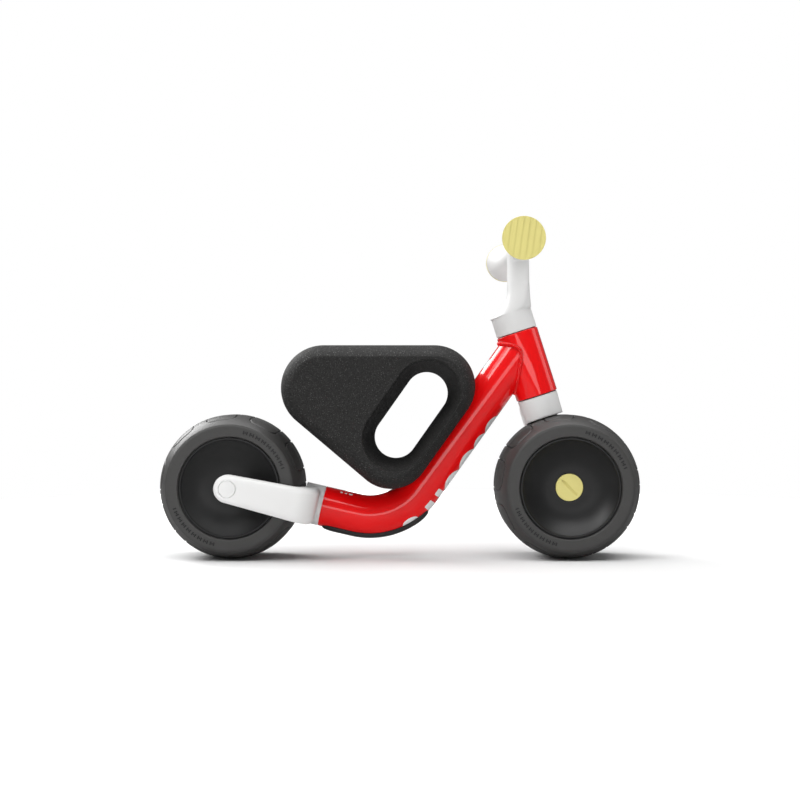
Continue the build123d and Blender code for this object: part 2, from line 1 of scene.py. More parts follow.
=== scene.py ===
import json
import math
import bmesh
import bpy
import numpy as np
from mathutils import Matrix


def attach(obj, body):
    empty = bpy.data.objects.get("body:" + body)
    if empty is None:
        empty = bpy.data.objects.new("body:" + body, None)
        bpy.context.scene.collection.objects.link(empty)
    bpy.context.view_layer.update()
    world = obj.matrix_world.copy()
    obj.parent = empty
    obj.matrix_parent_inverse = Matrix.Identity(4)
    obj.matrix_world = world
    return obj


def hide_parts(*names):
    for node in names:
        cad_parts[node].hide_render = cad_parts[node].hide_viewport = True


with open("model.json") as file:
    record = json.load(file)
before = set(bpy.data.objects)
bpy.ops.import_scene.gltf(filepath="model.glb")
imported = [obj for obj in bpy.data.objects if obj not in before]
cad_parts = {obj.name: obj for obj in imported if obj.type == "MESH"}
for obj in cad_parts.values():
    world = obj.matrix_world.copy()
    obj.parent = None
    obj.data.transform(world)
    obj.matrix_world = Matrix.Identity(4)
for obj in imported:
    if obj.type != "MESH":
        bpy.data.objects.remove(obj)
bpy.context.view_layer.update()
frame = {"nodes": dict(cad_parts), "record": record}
mm = 0.001
def unit(vector):
    vector = np.array(vector, dtype=float)
    return vector / np.linalg.norm(vector)


# where the joints stand, read from the frame
joints = {joint["name"]: joint for joint in frame["record"]["behaviour"]["joints"]}
frontAxle = np.array(joints["front_wheel_spin"]["pos_m"])
rearAxle = np.array(joints["rear_wheel_spin"]["pos_m"])
headUp = unit(joints["steer"]["axis"])
sideways = np.array([0.0, 1.0, 0.0])
headForward = np.cross(sideways, headUp)


def heading(turn):
    return np.array([math.cos(turn), 0.0, math.sin(turn)])


def gridFaces(rows, columns, closeRows=False, closeColumns=True):
    faces = []
    for row in range(rows if closeRows else rows - 1):
        low, high = row * columns, ((row + 1) % rows) * columns
        for column in range(columns if closeColumns else columns - 1):
            after = (column + 1) % columns
            faces.append((low + column, low + after, high + after, high + column))
    return faces


def newMesh(name, points, faces):
    mesh = bpy.data.meshes.new(name)
    mesh.from_pydata(np.asarray(points).tolist(), [], faces)
    return mesh


def tidyMesh(mesh, mergeAt=1e-6, sharpAt=32.0):
    work = bmesh.new()
    work.from_mesh(mesh)
    bmesh.ops.remove_doubles(work, verts=work.verts, dist=mergeAt)
    bmesh.ops.dissolve_degenerate(work, edges=work.edges, dist=1e-7)
    bmesh.ops.recalc_face_normals(work, faces=work.faces)
    work.to_mesh(mesh)
    work.free()
    mesh.polygons.foreach_set("use_smooth", [True] * len(mesh.polygons))
    mesh.set_sharp_from_angle(angle=math.radians(sharpAt))
    mesh.update()
    return mesh


def closedTube(name, points, columns, sharpAt=32.0):
    rows = len(points) // columns
    start, end = tuple(range(columns)), tuple(range((rows - 1) * columns, rows * columns))
    return tidyMesh(newMesh(name, points, gridFaces(rows, columns) + [start[::-1], end]), sharpAt=sharpAt)


def newObject(name, data, finish=None):
    thing = bpy.data.objects.new(name, data)
    bpy.context.scene.collection.objects.link(thing)
    if finish:
        data.materials.clear()
        data.materials.append(finish["material"])
    return thing


def addPiece(name, mesh, finish, body, slotName, *nodes):
    thing = newObject(name, mesh, finish)
    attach(thing, body)
    if nodes:
        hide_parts(*nodes)
    return thing


def roundCorners(outline, radii, steps=6):
    result = []
    points = [np.array(point, dtype=float) for point in outline]
    for number, (point, radius) in enumerate(zip(points, radii)):
        if radius <= 0:
            result.append(point)
            continue
        toBefore, toAfter = points[number - 1] - point, points[(number + 1) % len(points)] - point
        corner = math.acos(max(-1.0, min(1.0, float(unit(toBefore) @ unit(toAfter)))))
        if corner > math.radians(176):  # nearly straight
            result.append(point)
            continue
        room = 0.48 * min(np.linalg.norm(toBefore), np.linalg.norm(toAfter))
        reach = min(radius / math.tan(corner / 2), room)
        start, end = point + unit(toBefore) * reach, point + unit(toAfter) * reach
        for share in np.linspace(0.0, 1.0, steps + 1):
            result.append((1 - share) ** 2 * start + 2 * share * (1 - share) * point + share**2 * end)
    return result


def slotOutline(reach, radius, count):
    outline = []
    for way in (1, -1):
        for turn in np.linspace(-math.pi / 2, math.pi / 2, count):
            outline.append((way * (reach + radius * math.cos(turn)), way * radius * math.sin(turn)))
    return outline


def lathe(name, profile, centre, axis, steps=128, closed=True, sharpAt=32.0):
    axis = unit(axis)
    first = unit(np.cross(axis, [0.0, 0.0, 1.0]))
    second = np.cross(axis, first)
    points = []
    for along, radius in profile:
        for turn in np.linspace(0, 2 * math.pi, steps, endpoint=False):
            ring = first * math.cos(turn) + second * math.sin(turn)
            points.append(np.array(centre) + axis * along + ring * radius)
    return tidyMesh(newMesh(name, points, gridFaces(len(profile), steps, closeRows=closed)), sharpAt=sharpAt)


def turnedBar(name, low, high, radius, centre, axis, steps=96, rounds=(0, 0), roundSteps=6):
    outline = [(low, 0.0), (low, radius), (high, radius), (high, 0.0)]
    profile = roundCorners(outline, [0, *rounds, 0], roundSteps)
    return lathe(name, profile, centre, axis, steps, closed=False)


def joinMeshes(name, meshes):
    work = bmesh.new()
    for mesh in meshes:
        work.from_mesh(mesh)
    joined = bpy.data.meshes.new(name)
    work.to_mesh(joined)
    work.free()
    return joined


def settledMesh(name, thing):
    bpy.context.view_layer.update()
    mesh = bpy.data.meshes.new_from_object(thing.evaluated_get(bpy.context.evaluated_depsgraph_get()))
    mesh.name = name
    thing.modifiers.clear()
    bpy.data.objects.remove(thing)
    return mesh


def addModifier(thing, kind, values):
    modifier = thing.modifiers.new(kind, kind)
    for key, value in values.items():
        setattr(modifier, key, value)


def boolean(name, mesh, cutter, operation="DIFFERENCE"):
    tool = newObject(name + "_tool", cutter)
    thing = newObject(name + "_work", mesh)
    addModifier(thing, "BOOLEAN", {"object": tool, "operation": operation, "solver": "EXACT"})
    result = settledMesh(name, thing)
    bpy.data.objects.remove(tool)
    return result


def nodeMesh(node):
    mesh = frame["nodes"][node].data.copy()
    work = bmesh.new()
    work.from_mesh(mesh)
    bmesh.ops.remove_doubles(work, verts=work.verts, dist=2e-6)
    work.to_mesh(mesh)
    work.free()
    return mesh


def newTree(name, kind, inputs, outputs):
    tree = bpy.data.node_groups.new(name, kind)
    for way, sockets in (("INPUT", inputs), ("OUTPUT", outputs)):
        for label, socketKind in sockets.items():
            tree.interface.new_socket(name=label, in_out=way, socket_type="NodeSocket" + socketKind)
    return tree, tree.nodes.new("NodeGroupInput").outputs, tree.nodes.new("NodeGroupOutput").inputs


def feed(tree, node, sockets):
    for socket, source in sockets.items():
        if isinstance(source, bpy.types.NodeSocket):
            tree.links.new(source, node.inputs[socket])
        else:
            node.inputs[socket].default_value = source


def addNode(tree, kind, sockets=None, **settings):
    node = tree.nodes.new(kind)
    for key, value in settings.items():
        setattr(node, key, value)
    feed(tree, node, sockets or {})
    return node


def addMath(tree, operation, *values):
    return addNode(tree, "ShaderNodeMath", dict(enumerate(values)), operation=operation).outputs[0]


def mapRange(tree, value, fromMin=0.0, fromMax=1.0, toMin=0.0, toMax=1.0):
    return addNode(tree, "ShaderNodeMapRange", {
        "Value": value, "From Min": fromMin, "From Max": fromMax, "To Min": toMin, "To Max": toMax,
    }).outputs[0]


def mixColour(tree, share, first, second):
    return addNode(tree, "ShaderNodeMix", {0: share, 6: first, 7: second}, data_type="RGBA").outputs[2]


def newMaterial(name):
    material = bpy.data.materials.new(name)
    material.use_nodes = True
    shader = next(node for node in material.node_tree.nodes if node.type == "BSDF_PRINCIPLED")
    return material, material.node_tree, shader


def makeGrainGroup():
    tree, inputs, outputs = newTree(
        "surfaceGrain", "ShaderNodeTree", {"Fine scale": "Float", "Broad scale": "Float", "Detail": "Float"},
        {"Height": "Float", "Broad": "Float"})
    place = addNode(tree, "ShaderNodeTexCoord").outputs["Object"]
    fine = addNode(tree, "ShaderNodeTexNoise", {
        "Vector": place, "Scale": inputs["Fine scale"], "Detail": inputs["Detail"]})
    broad = addNode(tree, "ShaderNodeTexNoise", {
        "Vector": place, "Scale": inputs["Broad scale"], "Detail": 2.0})
    tree.links.new(fine.outputs["Fac"], outputs["Height"])
    tree.links.new(broad.outputs["Fac"], outputs["Broad"])
    return tree


def makeTintGroup():
    tree, inputs, outputs = newTree(
        "tintDrift", "ShaderNodeTree", {"Base": "Color", "Drift": "Color", "Share": "Float", "Mask": "Float"},
        {"Color": "Color"})
    amount = addMath(tree, "MULTIPLY", inputs["Share"], inputs["Mask"])
    tree.links.new(mixColour(tree, amount, inputs["Base"], inputs["Drift"]), outputs["Color"])
    return tree


def makeBoxGroup():
    tree, inputs, outputs = newTree(
        "roundedBoxGap", "ShaderNodeTree",
        dict.fromkeys(("Along", "Across", "Half length", "Half width", "Corner"), "Float"), {"Gap": "Float"})
    past = []
    for way, half in (("Along", "Half length"), ("Across", "Half width")):
        core = addMath(tree, "SUBTRACT", inputs[half], inputs["Corner"])
        past.append(addMath(tree, "SUBTRACT", addMath(tree, "ABSOLUTE", inputs[way]), core))
    outside = addNode(tree, "ShaderNodeCombineXYZ", {
        number: addMath(tree, "MAXIMUM", gap, 0.0) for number, gap in enumerate(past)})
    length = addNode(tree, "ShaderNodeVectorMath", {0: outside.outputs[0]}, operation="LENGTH")
    inside = addMath(tree, "MINIMUM", addMath(tree, "MAXIMUM", *past), 0.0)
    gap = addMath(tree, "SUBTRACT", addMath(tree, "ADD", length.outputs["Value"], inside), inputs["Corner"])
    tree.links.new(gap, outputs["Gap"])
    return tree


grainGroup = makeGrainGroup()
tintGroup = makeTintGroup()
boxGroup = makeBoxGroup()
grain = {"detail": 3.0, "low": 0.3, "high": 0.7}


def newFinish(name, look):
    material, tree, shader = newMaterial(name)
    fine = addNode(tree, "ShaderNodeGroup", {
        "Fine scale": look["grainScale"], "Broad scale": look["driftScale"], "Detail": grain["detail"],
    }, node_tree=grainGroup)
    tint = addNode(tree, "ShaderNodeGroup", {
        "Base": (*look["colour"], 1.0), "Drift": (*look["drift"], 1.0), "Share": look.get("driftShare", 0.6),
        "Mask": fine.outputs["Broad"]}, node_tree=tintGroup)
    bump = addNode(tree, "ShaderNodeBump", {
        "Height": fine.outputs["Height"], "Strength": look["bump"],
        "Distance": look.get("bumpDepth", 0.0001)})
    feed(tree, shader, {
        "Base Color": tint.outputs["Color"], "Normal": bump.outputs["Normal"],
        "Roughness": mapRange(tree, fine.outputs["Height"], grain["low"], grain["high"], *look["rough"]),
        "Metallic": look.get("metal", 0.0), "Specular IOR Level": look.get("shine", 0.5),
        "Coat Weight": look.get("coat", 0.0), "Coat Roughness": look.get("coatRough", 0.05)})
    return {"material": material, "tree": tree, "shader": shader, "colour": tint.outputs["Color"]}


redLook = {"colour": (0.84, 0.003, 0.004), "drift": (0.77, 0.002, 0.003),
           "grainScale": 240.0, "driftScale": 14.0,
           "rough": (0.30, 0.33), "bump": 0.004, "coat": 1.0, "coatRough": 0.035, "shine": 0.12}
whiteLook = {"colour": (0.70, 0.70, 0.695), "drift": (0.67, 0.667, 0.66),
             "grainScale": 1500.0, "driftScale": 18.0,
             "rough": (0.46, 0.56), "bump": 0.08, "shine": 0.28}
yellowLook = {"colour": (0.70, 0.63, 0.222), "drift": (0.67, 0.60, 0.21),
              "grainScale": 1800.0, "driftScale": 40.0,
              "rough": (0.46, 0.56), "bump": 0.06, "shine": 0.35}
tyreLook = {"colour": (0.049, 0.048, 0.047), "drift": (0.041, 0.040, 0.039),
            "grainScale": 2600.0, "driftScale": 24.0,
            "rough": (0.38, 0.52), "bump": 0.30, "bumpDepth": 0.00012, "shine": 0.48}
hubLook = {"colour": (0.011, 0.011, 0.0115), "drift": (0.008, 0.008, 0.008),
           "grainScale": 1900.0, "driftScale": 30.0,
           "rough": (0.35, 0.45), "bump": 0.18, "shine": 0.42}
foamLook = {"colour": (0.003, 0.003, 0.003), "drift": (0.040, 0.039, 0.038),
            "grainScale": 1050.0, "driftScale": 680.0,
            "driftShare": 0.8, "rough": (0.56, 0.78), "bump": 0.75, "bumpDepth": 0.00045, "shine": 0.22}
padLook = {"colour": (0.022, 0.022, 0.023), "drift": (0.032, 0.032, 0.031),
           "grainScale": 2200.0, "driftScale": 45.0,
           "rough": (0.60, 0.78), "bump": 0.4}
bushLook = {"colour": (0.018, 0.018, 0.018), "drift": (0.028, 0.028, 0.028),
            "grainScale": 2000.0, "driftScale": 60.0,
            "rough": (0.45, 0.6), "bump": 0.2}
steelLook = {"colour": (0.56, 0.56, 0.57), "drift": (0.46, 0.46, 0.47),
             "grainScale": 1600.0, "driftScale": 90.0,
             "rough": (0.24, 0.38), "bump": 0.12, "metal": 1.0}

redFinish = newFinish("redPowderCoat", redLook)
whiteFinish = newFinish("satinWhite", whiteLook)
yellowFinish = newFinish("satinYellow", yellowLook)
tyreFinish = newFinish("tyreRubber", tyreLook)
hubFinish = newFinish("hubPlastic", hubLook)
foamFinish = newFinish("fleckedFoam", foamLook)
padFinish = newFinish("padRubber", padLook)
bushFinish = newFinish("bushPlastic", bushLook)
steelFinish = newFinish("zincSteel", steelLook)

def addFlecks(finish, flecks):
    tree = finish["tree"]
    place = addNode(tree, "ShaderNodeTexCoord").outputs["Object"]
    colour = finish["colour"]
    for scale, radius, chance, tone in flecks:
        cells = addNode(tree, "ShaderNodeTexVoronoi", {"Vector": place, "Scale": scale})
        near = mapRange(tree, cells.outputs["Distance"], radius, radius * 0.45)
        pick = addNode(tree, "ShaderNodeSeparateColor", {"Color": cells.outputs["Color"]})
        chosen = addMath(tree, "GREATER_THAN", pick.outputs[0], 1.0 - chance)
        faint = addMath(tree, "MULTIPLY", near, addMath(tree, "MULTIPLY", chosen, pick.outputs[1]))
        colour = mixColour(tree, faint, colour, (*tone, 1.0))
    feed(tree, finish["shader"], {"Base Color": colour})


# each fleck size: how dense, how large in its cell, how many of the cells have one, its colour
addFlecks(foamFinish, [
    (520.0, 0.25, 0.60, (0.22, 0.22, 0.215)),
    (860.0, 0.32, 0.75, (0.12, 0.12, 0.118)),
])
print("finishes ready")


def nodePoints(node):
    mesh = frame["nodes"][node].data
    points = np.empty(len(mesh.vertices) * 3)
    mesh.vertices.foreach_get("co", points)
    return points.reshape(-1, 3)


def spanAlong(node, origin, direction):
    reach = (nodePoints(node) - origin) @ direction
    return float(reach.min()), float(reach.max())


def largestRadius(node, origin, direction):
    offset = nodePoints(node) - origin
    offset = offset - np.outer(offset @ direction, direction)
    return float(np.linalg.norm(offset, axis=1).max())


mainTube = {"fall": 13.0, "rise": 54.5, "bendRadius": 70.0 * mm, "radius": 22.5 * mm, "wall": 2.0 * mm,
            "edge": 0.5 * mm, "startFromAxle": 101.8 * mm, "jointHeight": 163.0 * mm, "copeGap": 0.02 * mm,
            "copeReach": 50.0 * mm, "around": 144, "bendSteps": 56, "straightSteps": 8}

fall, rise = math.radians(mainTube["fall"]), math.radians(mainTube["rise"])
tubeBack, tubeFront = heading(-fall), heading(rise)
jointPoint = frontAxle + headUp * mainTube["jointHeight"]
backLength = np.cross(jointPoint - rearAxle, tubeFront)[1] / np.cross(tubeBack, tubeFront)[1]
bendCorner = rearAxle + tubeBack * backLength
bendReach = mainTube["bendRadius"] * math.tan((fall + rise) / 2)
bendStart = bendCorner - tubeBack * bendReach
bendEnd = bendCorner + tubeFront * bendReach
bendCentre = bendStart - np.cross(sideways, tubeBack) * mainTube["bendRadius"]
tubeStart = rearAxle + tubeBack * mainTube["startFromAxle"]


def straightRun(start, end, direction, steps):
    return [(start + (end - start) * step / steps, direction) for step in range(steps + 1)]


def bendRun(turn, steps):
    run = []
    for step in range(1, steps + 1):
        direction = heading(-fall + turn * step / steps)
        run.append((bendCentre + np.cross(sideways, direction) * mainTube["bendRadius"], direction))
    return run


def tubeRoute(startAt, endAt, bendSteps, straightSteps):
    bend = bendRun(fall + rise, bendSteps)
    return (straightRun(startAt, bendStart, tubeBack, straightSteps) + bend
            + straightRun(bendEnd, endAt, tubeFront, straightSteps)[1:])


def runLengths(route):
    gaps = [float(np.linalg.norm(after[0] - before[0])) for before, after in zip(route, route[1:])]
    return [sum(gaps[:number]) for number in range(len(route))]


def sweptRings(route, radius, around):
    rings = []
    for point, direction in route:
        up = np.cross(direction, sideways)
        for step in range(around):
            turn = 2 * math.pi * step / around
            rings.append(point + (sideways * math.cos(turn) + up * math.sin(turn)) * radius)
    return rings


def makeMainTube():
    around, radius, edge = mainTube["around"], mainTube["radius"], mainTube["edge"]
    route = tubeRoute(tubeStart, jointPoint, mainTube["bendSteps"], mainTube["straightSteps"])
    first, direction = route[0]
    rings = sweptRings([(first + direction * edge, direction)] + route[1:], radius, around)
    rings += sweptRings(route[::-1], radius - mainTube["wall"], around)
    rings += sweptRings([(first, direction)], radius - edge, around)
    mesh = newMesh("mainTube", rings, gridFaces(len(rings) // around, around, closeRows=True))
    uv = mesh.uv_layers.new(name="tubeRun")
    lengths = runLengths(route)
    total = lengths + lengths[::-1] + [0.0]
    for polygon in mesh.polygons:
        columns = [mesh.loops[loop].vertex_index % around for loop in polygon.loop_indices]
        wraps = max(columns) - min(columns) > 1
        for loop, column in zip(polygon.loop_indices, columns):
            row = mesh.loops[loop].vertex_index // around
            uv.data[loop].uv = (total[row], 1.0 if wraps and column == 0 else column / around)
    headRadius = largestRadius("head_tube", frontAxle, headUp) + mainTube["copeGap"]
    low, high = spanAlong("head_tube", frontAxle, headUp)
    past = mainTube["copeReach"]
    cope = turnedBar("cope", low - past, high + past, headRadius, frontAxle, headUp, 192)
    return tidyMesh(boolean("mainTube", mesh, cope), sharpAt=30.0)


def addTubeMarks(finish, marks, tone):
    tree = finish["tree"]
    place = addNode(tree, "ShaderNodeUVMap", uv_map="tubeRun").outputs["UV"]
    split = addNode(tree, "ShaderNodeSeparateXYZ", {"Vector": place})
    girth = 2 * math.pi * mainTube["radius"]
    total = 0.0
    for at, length, width, around, corner in marks:
        across = addMath(tree, "MULTIPLY", addMath(tree, "SUBTRACT", split.outputs["Y"], around), girth)
        box = addNode(tree, "ShaderNodeGroup", {
            "Along": addMath(tree, "SUBTRACT", split.outputs["X"], at), "Across": across,
            "Half length": length / 2, "Half width": width / 2, "Corner": corner}, node_tree=boxGroup)
        total = addMath(tree, "MAXIMUM", total, addMath(tree, "LESS_THAN", box.outputs["Gap"], 0.0))
    feed(tree, finish["shader"], {"Base Color": mixColour(tree, total, finish["colour"], (*tone, 1.0))})


# each mark: its place along the tube, length, width, its place round the tube as a share of a turn, corner
tubeMarks = [
    (0.0925, 0.0150, 0.0380, 0.745, 0.0070), (0.1150, 0.0085, 0.0360, 0.745, 0.0012),
    (0.1305, 0.0085, 0.0360, 0.745, 0.0012), (0.1510, 0.0272, 0.0320, 0.745, 0.0135),
    (0.1794, 0.0286, 0.0320, 0.745, 0.0142), (0.2043, 0.0200, 0.0290, 0.745, 0.0099),
    (0.2268, 0.0228, 0.0300, 0.745, 0.0113), (0.2790, 0.0125, 0.0150, 0.272, 0.0060),
    (0.0180, 0.0030, 0.0030, 0.320, 0.0014), (0.0230, 0.0030, 0.0030, 0.320, 0.0014),
    (0.0285, 0.0045, 0.0030, 0.320, 0.0014),
]
markedRed = newFinish("redPowderCoatMarked", redLook)
addTubeMarks(markedRed, tubeMarks, (0.80, 0.80, 0.80))
addPiece("main_tube_shell", makeMainTube(), markedRed, "frame", "frame_red", "main_tube")
print("main tube ready")


headTube = {"edge": 0.8 * mm, "innerEdge": 0.2 * mm, "wall": 3.5 * mm, "around": 160}


def makeHeadTube():
    low, high = spanAlong("head_tube", frontAxle, headUp)
    radius = largestRadius("head_tube", frontAxle, headUp)
    inner = radius - headTube["wall"]
    edge, innerEdge = headTube["edge"], headTube["innerEdge"]
    outline = [(low, inner), (low, radius), (high, radius), (high, inner)]
    profile = roundCorners(outline, [innerEdge, edge, edge, innerEdge], 5)
    return lathe("headTube", profile, frontAxle, headUp, headTube["around"])


addPiece("head_tube_shell", makeHeadTube(), redFinish, "frame", "frame_red", "head_tube")


# the weld bead: overlapping beads along the seam where the main tube meets the head tube
weldBead = {"pitch": 1.55 * mm, "width": 2.7 * mm, "height": 2.3 * mm, "length": 0.98 * mm, "proud": 1.1 * mm,
            "forward": 1.6 * mm, "soften": 9, "unevenness": 0.06, "seed": 7, "segments": 14, "rings": 8}


def weldRoute(count=220):
    seamRadius = largestRadius("head_tube", frontAxle, headUp) + weldBead["proud"] * 0.7
    up = np.cross(tubeFront, sideways)
    flatWay = tubeFront - headUp * (tubeFront @ headUp)
    route = []
    for turn in np.linspace(0, 2 * math.pi, count, endpoint=False):
        ring = sideways * math.cos(turn) + up * math.sin(turn)
        start = jointPoint + ring * (mainTube["radius"] + weldBead["proud"])
        offset = start - frontAxle
        flatOffset = offset - headUp * (offset @ headUp)
        a = flatWay @ flatWay  # the quadratic for where the line meets the head tube
        b = 2 * flatOffset @ flatWay
        c = flatOffset @ flatOffset - seamRadius**2
        back = (-b - math.sqrt(max(b * b - 4 * a * c, 0.0))) / (2 * a)
        route.append(start + tubeFront * (back + weldBead["forward"]))
    route = np.array(route)
    for again in range(weldBead["soften"]):
        route = (np.roll(route, 1, axis=0) + 2 * route + np.roll(route, -1, axis=0)) / 4
    return list(route)


def newShapeTree(name, inputs):
    return newTree(name, "GeometryNodeTree", inputs | {"Finish": "Material"}, {"Geometry": "Geometry"})


def endShapeTree(tree, inputs, outputs, geometry):
    real = addNode(tree, "GeometryNodeRealizeInstances", {0: geometry})
    finish = addNode(tree, "GeometryNodeSetMaterial", {
        "Geometry": real.outputs[0], "Material": inputs["Finish"]})
    tree.links.new(finish.outputs[0], outputs[0])
    return tree


def beadTree():
    tree, inputs, outputs = newShapeTree("weldBeadAlongPath", {
        "Path": "Geometry", "Pitch": "Float", "Half length": "Float", "Half width": "Float",
        "Half height": "Float", "Unevenness": "Float"})
    points = addNode(tree, "GeometryNodeCurveToPoints", {"Curve": inputs["Path"], "Length": inputs["Pitch"]},
                     mode="LENGTH")
    ball = addNode(tree, "GeometryNodeMeshUVSphere", {
        "Segments": weldBead["segments"], "Rings": weldBead["rings"], "Radius": 1.0})
    smooth = addNode(tree, "GeometryNodeSetShadeSmooth", {0: ball.outputs["Mesh"]})
    size = addNode(tree, "ShaderNodeCombineXYZ", {
        0: inputs["Half height"], 1: inputs["Half width"], 2: inputs["Half length"]})
    smallest = addMath(tree, "SUBTRACT", 1.0, inputs["Unevenness"])
    vary = addNode(tree, "FunctionNodeRandomValue", {2: smallest, 3: 1.0, "Seed": weldBead["seed"]},
                   data_type="FLOAT")
    scale = addNode(tree, "ShaderNodeVectorMath", {0: size.outputs[0], "Scale": vary.outputs[1]},
                    operation="SCALE")
    place = addNode(tree, "GeometryNodeInstanceOnPoints", {
        "Points": points.outputs["Points"], "Instance": smooth.outputs[0],
        "Rotation": points.outputs["Rotation"], "Scale": scale.outputs[0]})
    return endShapeTree(tree, inputs, outputs, place.outputs[0])


def runTree(name, base, tree, values):
    thing = newObject(name + "_base", base)
    modifier = thing.modifiers.new("nodes", "NODES")
    modifier.node_group = tree
    sockets = {item.name: item.identifier for item in tree.interface.items_tree if item.in_out == "INPUT"}
    for label, value in values.items():
        modifier[sockets[label]] = value
    return settledMesh(name, thing)


def pathCurve(name, route, cyclic):
    curve = bpy.data.curves.new(name, "CURVE")
    curve.dimensions = "3D"
    spline = curve.splines.new("POLY")
    spline.points.add(len(route) - 1)
    for point, place in zip(spline.points, route):
        point.co = (*place, 1.0)
    spline.use_cyclic_u = cyclic
    return curve


beadMesh = runTree("weldBead", pathCurve("weldPath", weldRoute(), True), beadTree(), {
    "Pitch": weldBead["pitch"], "Half length": weldBead["length"], "Half width": weldBead["width"],
    "Half height": weldBead["height"], "Unevenness": weldBead["unevenness"], "Finish": redFinish["material"]})
addPiece("weld_bead", beadMesh, redFinish, "frame", "frame_red")
print("head tube and weld ready")


# wheels: a tyre sector with its tread pad, repeated round the axle
tyre = {"halfWidth": 50.0, "flat": 15.0, "shoulderAt": 48.0, "shoulderRadius": 70.5, "radius": 80.0,
        "bead": 57.0, "seat": 55.2, "sectors": 10, "padTurn": 26.0, "padHalfLength": 16.8, "padHalfWidth": 39.5,
        "padCorner": 9.0, "grooveHalf": 1.0, "grooveDepth": 1.35}


def arcBetween(start, end, startSlope, count):
    start, end = np.array(start, dtype=float), np.array(end, dtype=float)
    corner = start + np.array(startSlope) * ((end[0] - start[0]) / startSlope[0]) * 0.55
    return [(1 - t) ** 2 * start + 2 * t * (1 - t) * corner + t**2 * end for t in np.linspace(0, 1, count)]


def tyreProfile():
    side, shoulderRadius, bead = tyre["halfWidth"], tyre["shoulderRadius"], tyre["bead"]
    tread = [(x, tyre["radius"]) for x in np.linspace(0, tyre["flat"], 5)]
    shoulder = arcBetween(tread[-1], (tyre["shoulderAt"], shoulderRadius), (1.0, 0.0), 40)
    fold = [shoulder[-2], (tyre["shoulderAt"] + 1.1, shoulderRadius - 0.7), (side, shoulderRadius - 3.2),
            (side, bead + 2)]
    wall = [(side, r) for r in np.linspace(shoulderRadius - 5.2, bead + 1.2, 9)]
    lip = [(side, bead + 1.0), (side, bead - 0.1), (side - 2.6, bead - 1.7), (side - 3.4, tyre["seat"])]
    half = tread + shoulder[1:-1] + roundCorners(fold, [0, 1.2, 1.4, 0], 4)[1:-1] + wall
    half += roundCorners(lip, [0, 0.5, 0.5, 0], 3)
    return half + [(-x, r) for x, r in half[::-1][:-1]]


def roundBoxGap(along, across, halfLength, halfWidth, corner):
    a = np.abs(along) - (halfLength - corner)
    b = np.abs(across) - (halfWidth - corner)
    return np.hypot(np.maximum(a, 0), np.maximum(b, 0)) + np.minimum(np.maximum(a, b), 0) - corner


def sectorColumns():
    half = 180.0 / tyre["sectors"]
    edge = math.degrees(tyre["padHalfLength"] / tyre["radius"])
    groove = math.degrees(tyre["grooveHalf"] / tyre["radius"])
    fine = [edge + groove * share for share in (-1.0, -0.6, -0.3, 0.0, 0.3, 0.6, 1.0)]
    corner = math.degrees((tyre["padHalfLength"] - tyre["padCorner"] - tyre["grooveHalf"]) / tyre["radius"])
    inner = list(np.linspace(0, corner, 4))[:-1] + list(np.linspace(corner, edge - groove * 1.4, 13))
    outer = np.linspace(edge + groove * 1.5, half, 5)
    positive = inner + fine + list(outer)
    return [-turn for turn in positive[:0:-1]] + positive


def tyreSector(name):
    profile, turns = tyreProfile(), sectorColumns()
    points, spots = [], []
    for lateral, radius in profile:
        onTread = radius > tyre["shoulderRadius"] + 0.2
        for turn in turns:
            along = math.radians(turn) * tyre["radius"]
            gap = roundBoxGap(along, lateral, tyre["padHalfLength"], tyre["padHalfWidth"], tyre["padCorner"])
            share = min(1.0, abs(float(gap)) / tyre["grooveHalf"]) if onTread else 1.0
            reach = (radius - tyre["grooveDepth"] * (1 - share**2)) * mm
            place = heading(math.radians(turn + tyre["padTurn"])) * reach
            points.append(place + sideways * lateral * mm)
            spots.append((along * mm, lateral * mm if onTread else 0.2))  # the sides lie off the tread map
    mesh = newMesh(name, points, gridFaces(len(profile), len(turns), closeRows=True, closeColumns=False))
    uv = mesh.uv_layers.new(name="treadRun")
    for loop in mesh.loops:
        uv.data[loop.index].uv = spots[loop.vertex_index]
    return mesh


def roundAxleTree():
    tree, inputs, outputs = newShapeTree("sectorsRoundAxle", {
        "Sector": "Geometry", "Count": "Int", "Centre": "Vector", "Turn": "Float"})
    points = addNode(tree, "GeometryNodePoints", {"Count": inputs["Count"], "Position": inputs["Centre"]})
    index = addNode(tree, "GeometryNodeInputIndex").outputs[0]
    turn = addNode(tree, "ShaderNodeCombineXYZ", {1: addMath(tree, "MULTIPLY", index, inputs["Turn"])})
    place = addNode(tree, "GeometryNodeInstanceOnPoints", {
        "Points": points.outputs[0], "Instance": inputs["Sector"], "Rotation": turn.outputs[0]})
    return endShapeTree(tree, inputs, outputs, place.outputs[0])


# darkens the tyre colour along the tread grooves: painted shade in the recesses
def addPaintedGrooveShade(finish, tone):
    tree = finish["tree"]
    place = addNode(tree, "ShaderNodeUVMap", uv_map="treadRun").outputs["UV"]
    split = addNode(tree, "ShaderNodeSeparateXYZ", {"Vector": place})
    box = addNode(tree, "ShaderNodeGroup", {
        "Along": split.outputs["X"], "Across": split.outputs["Y"], "Half length": tyre["padHalfLength"] * mm,
        "Half width": tyre["padHalfWidth"] * mm, "Corner": tyre["padCorner"] * mm}, node_tree=boxGroup)
    half = tyre["grooveHalf"] * mm
    line = mapRange(tree, addMath(tree, "ABSOLUTE", box.outputs["Gap"]), half, half * 0.35, 0.0, 0.55)
    feed(tree, finish["shader"], {"Base Color": mixColour(tree, line, finish["colour"], (*tone, 1.0))})


# painted shade in the tread grooves, darker than the rubber itself
addPaintedGrooveShade(tyreFinish, (0.020, 0.020, 0.020))
sectorTree = roundAxleTree()
wheelCentres = {"front": frontAxle, "rear": rearAxle}
armWays = {"front": sideways, "rear": -sideways}  # the side of each wheel that its arm is on


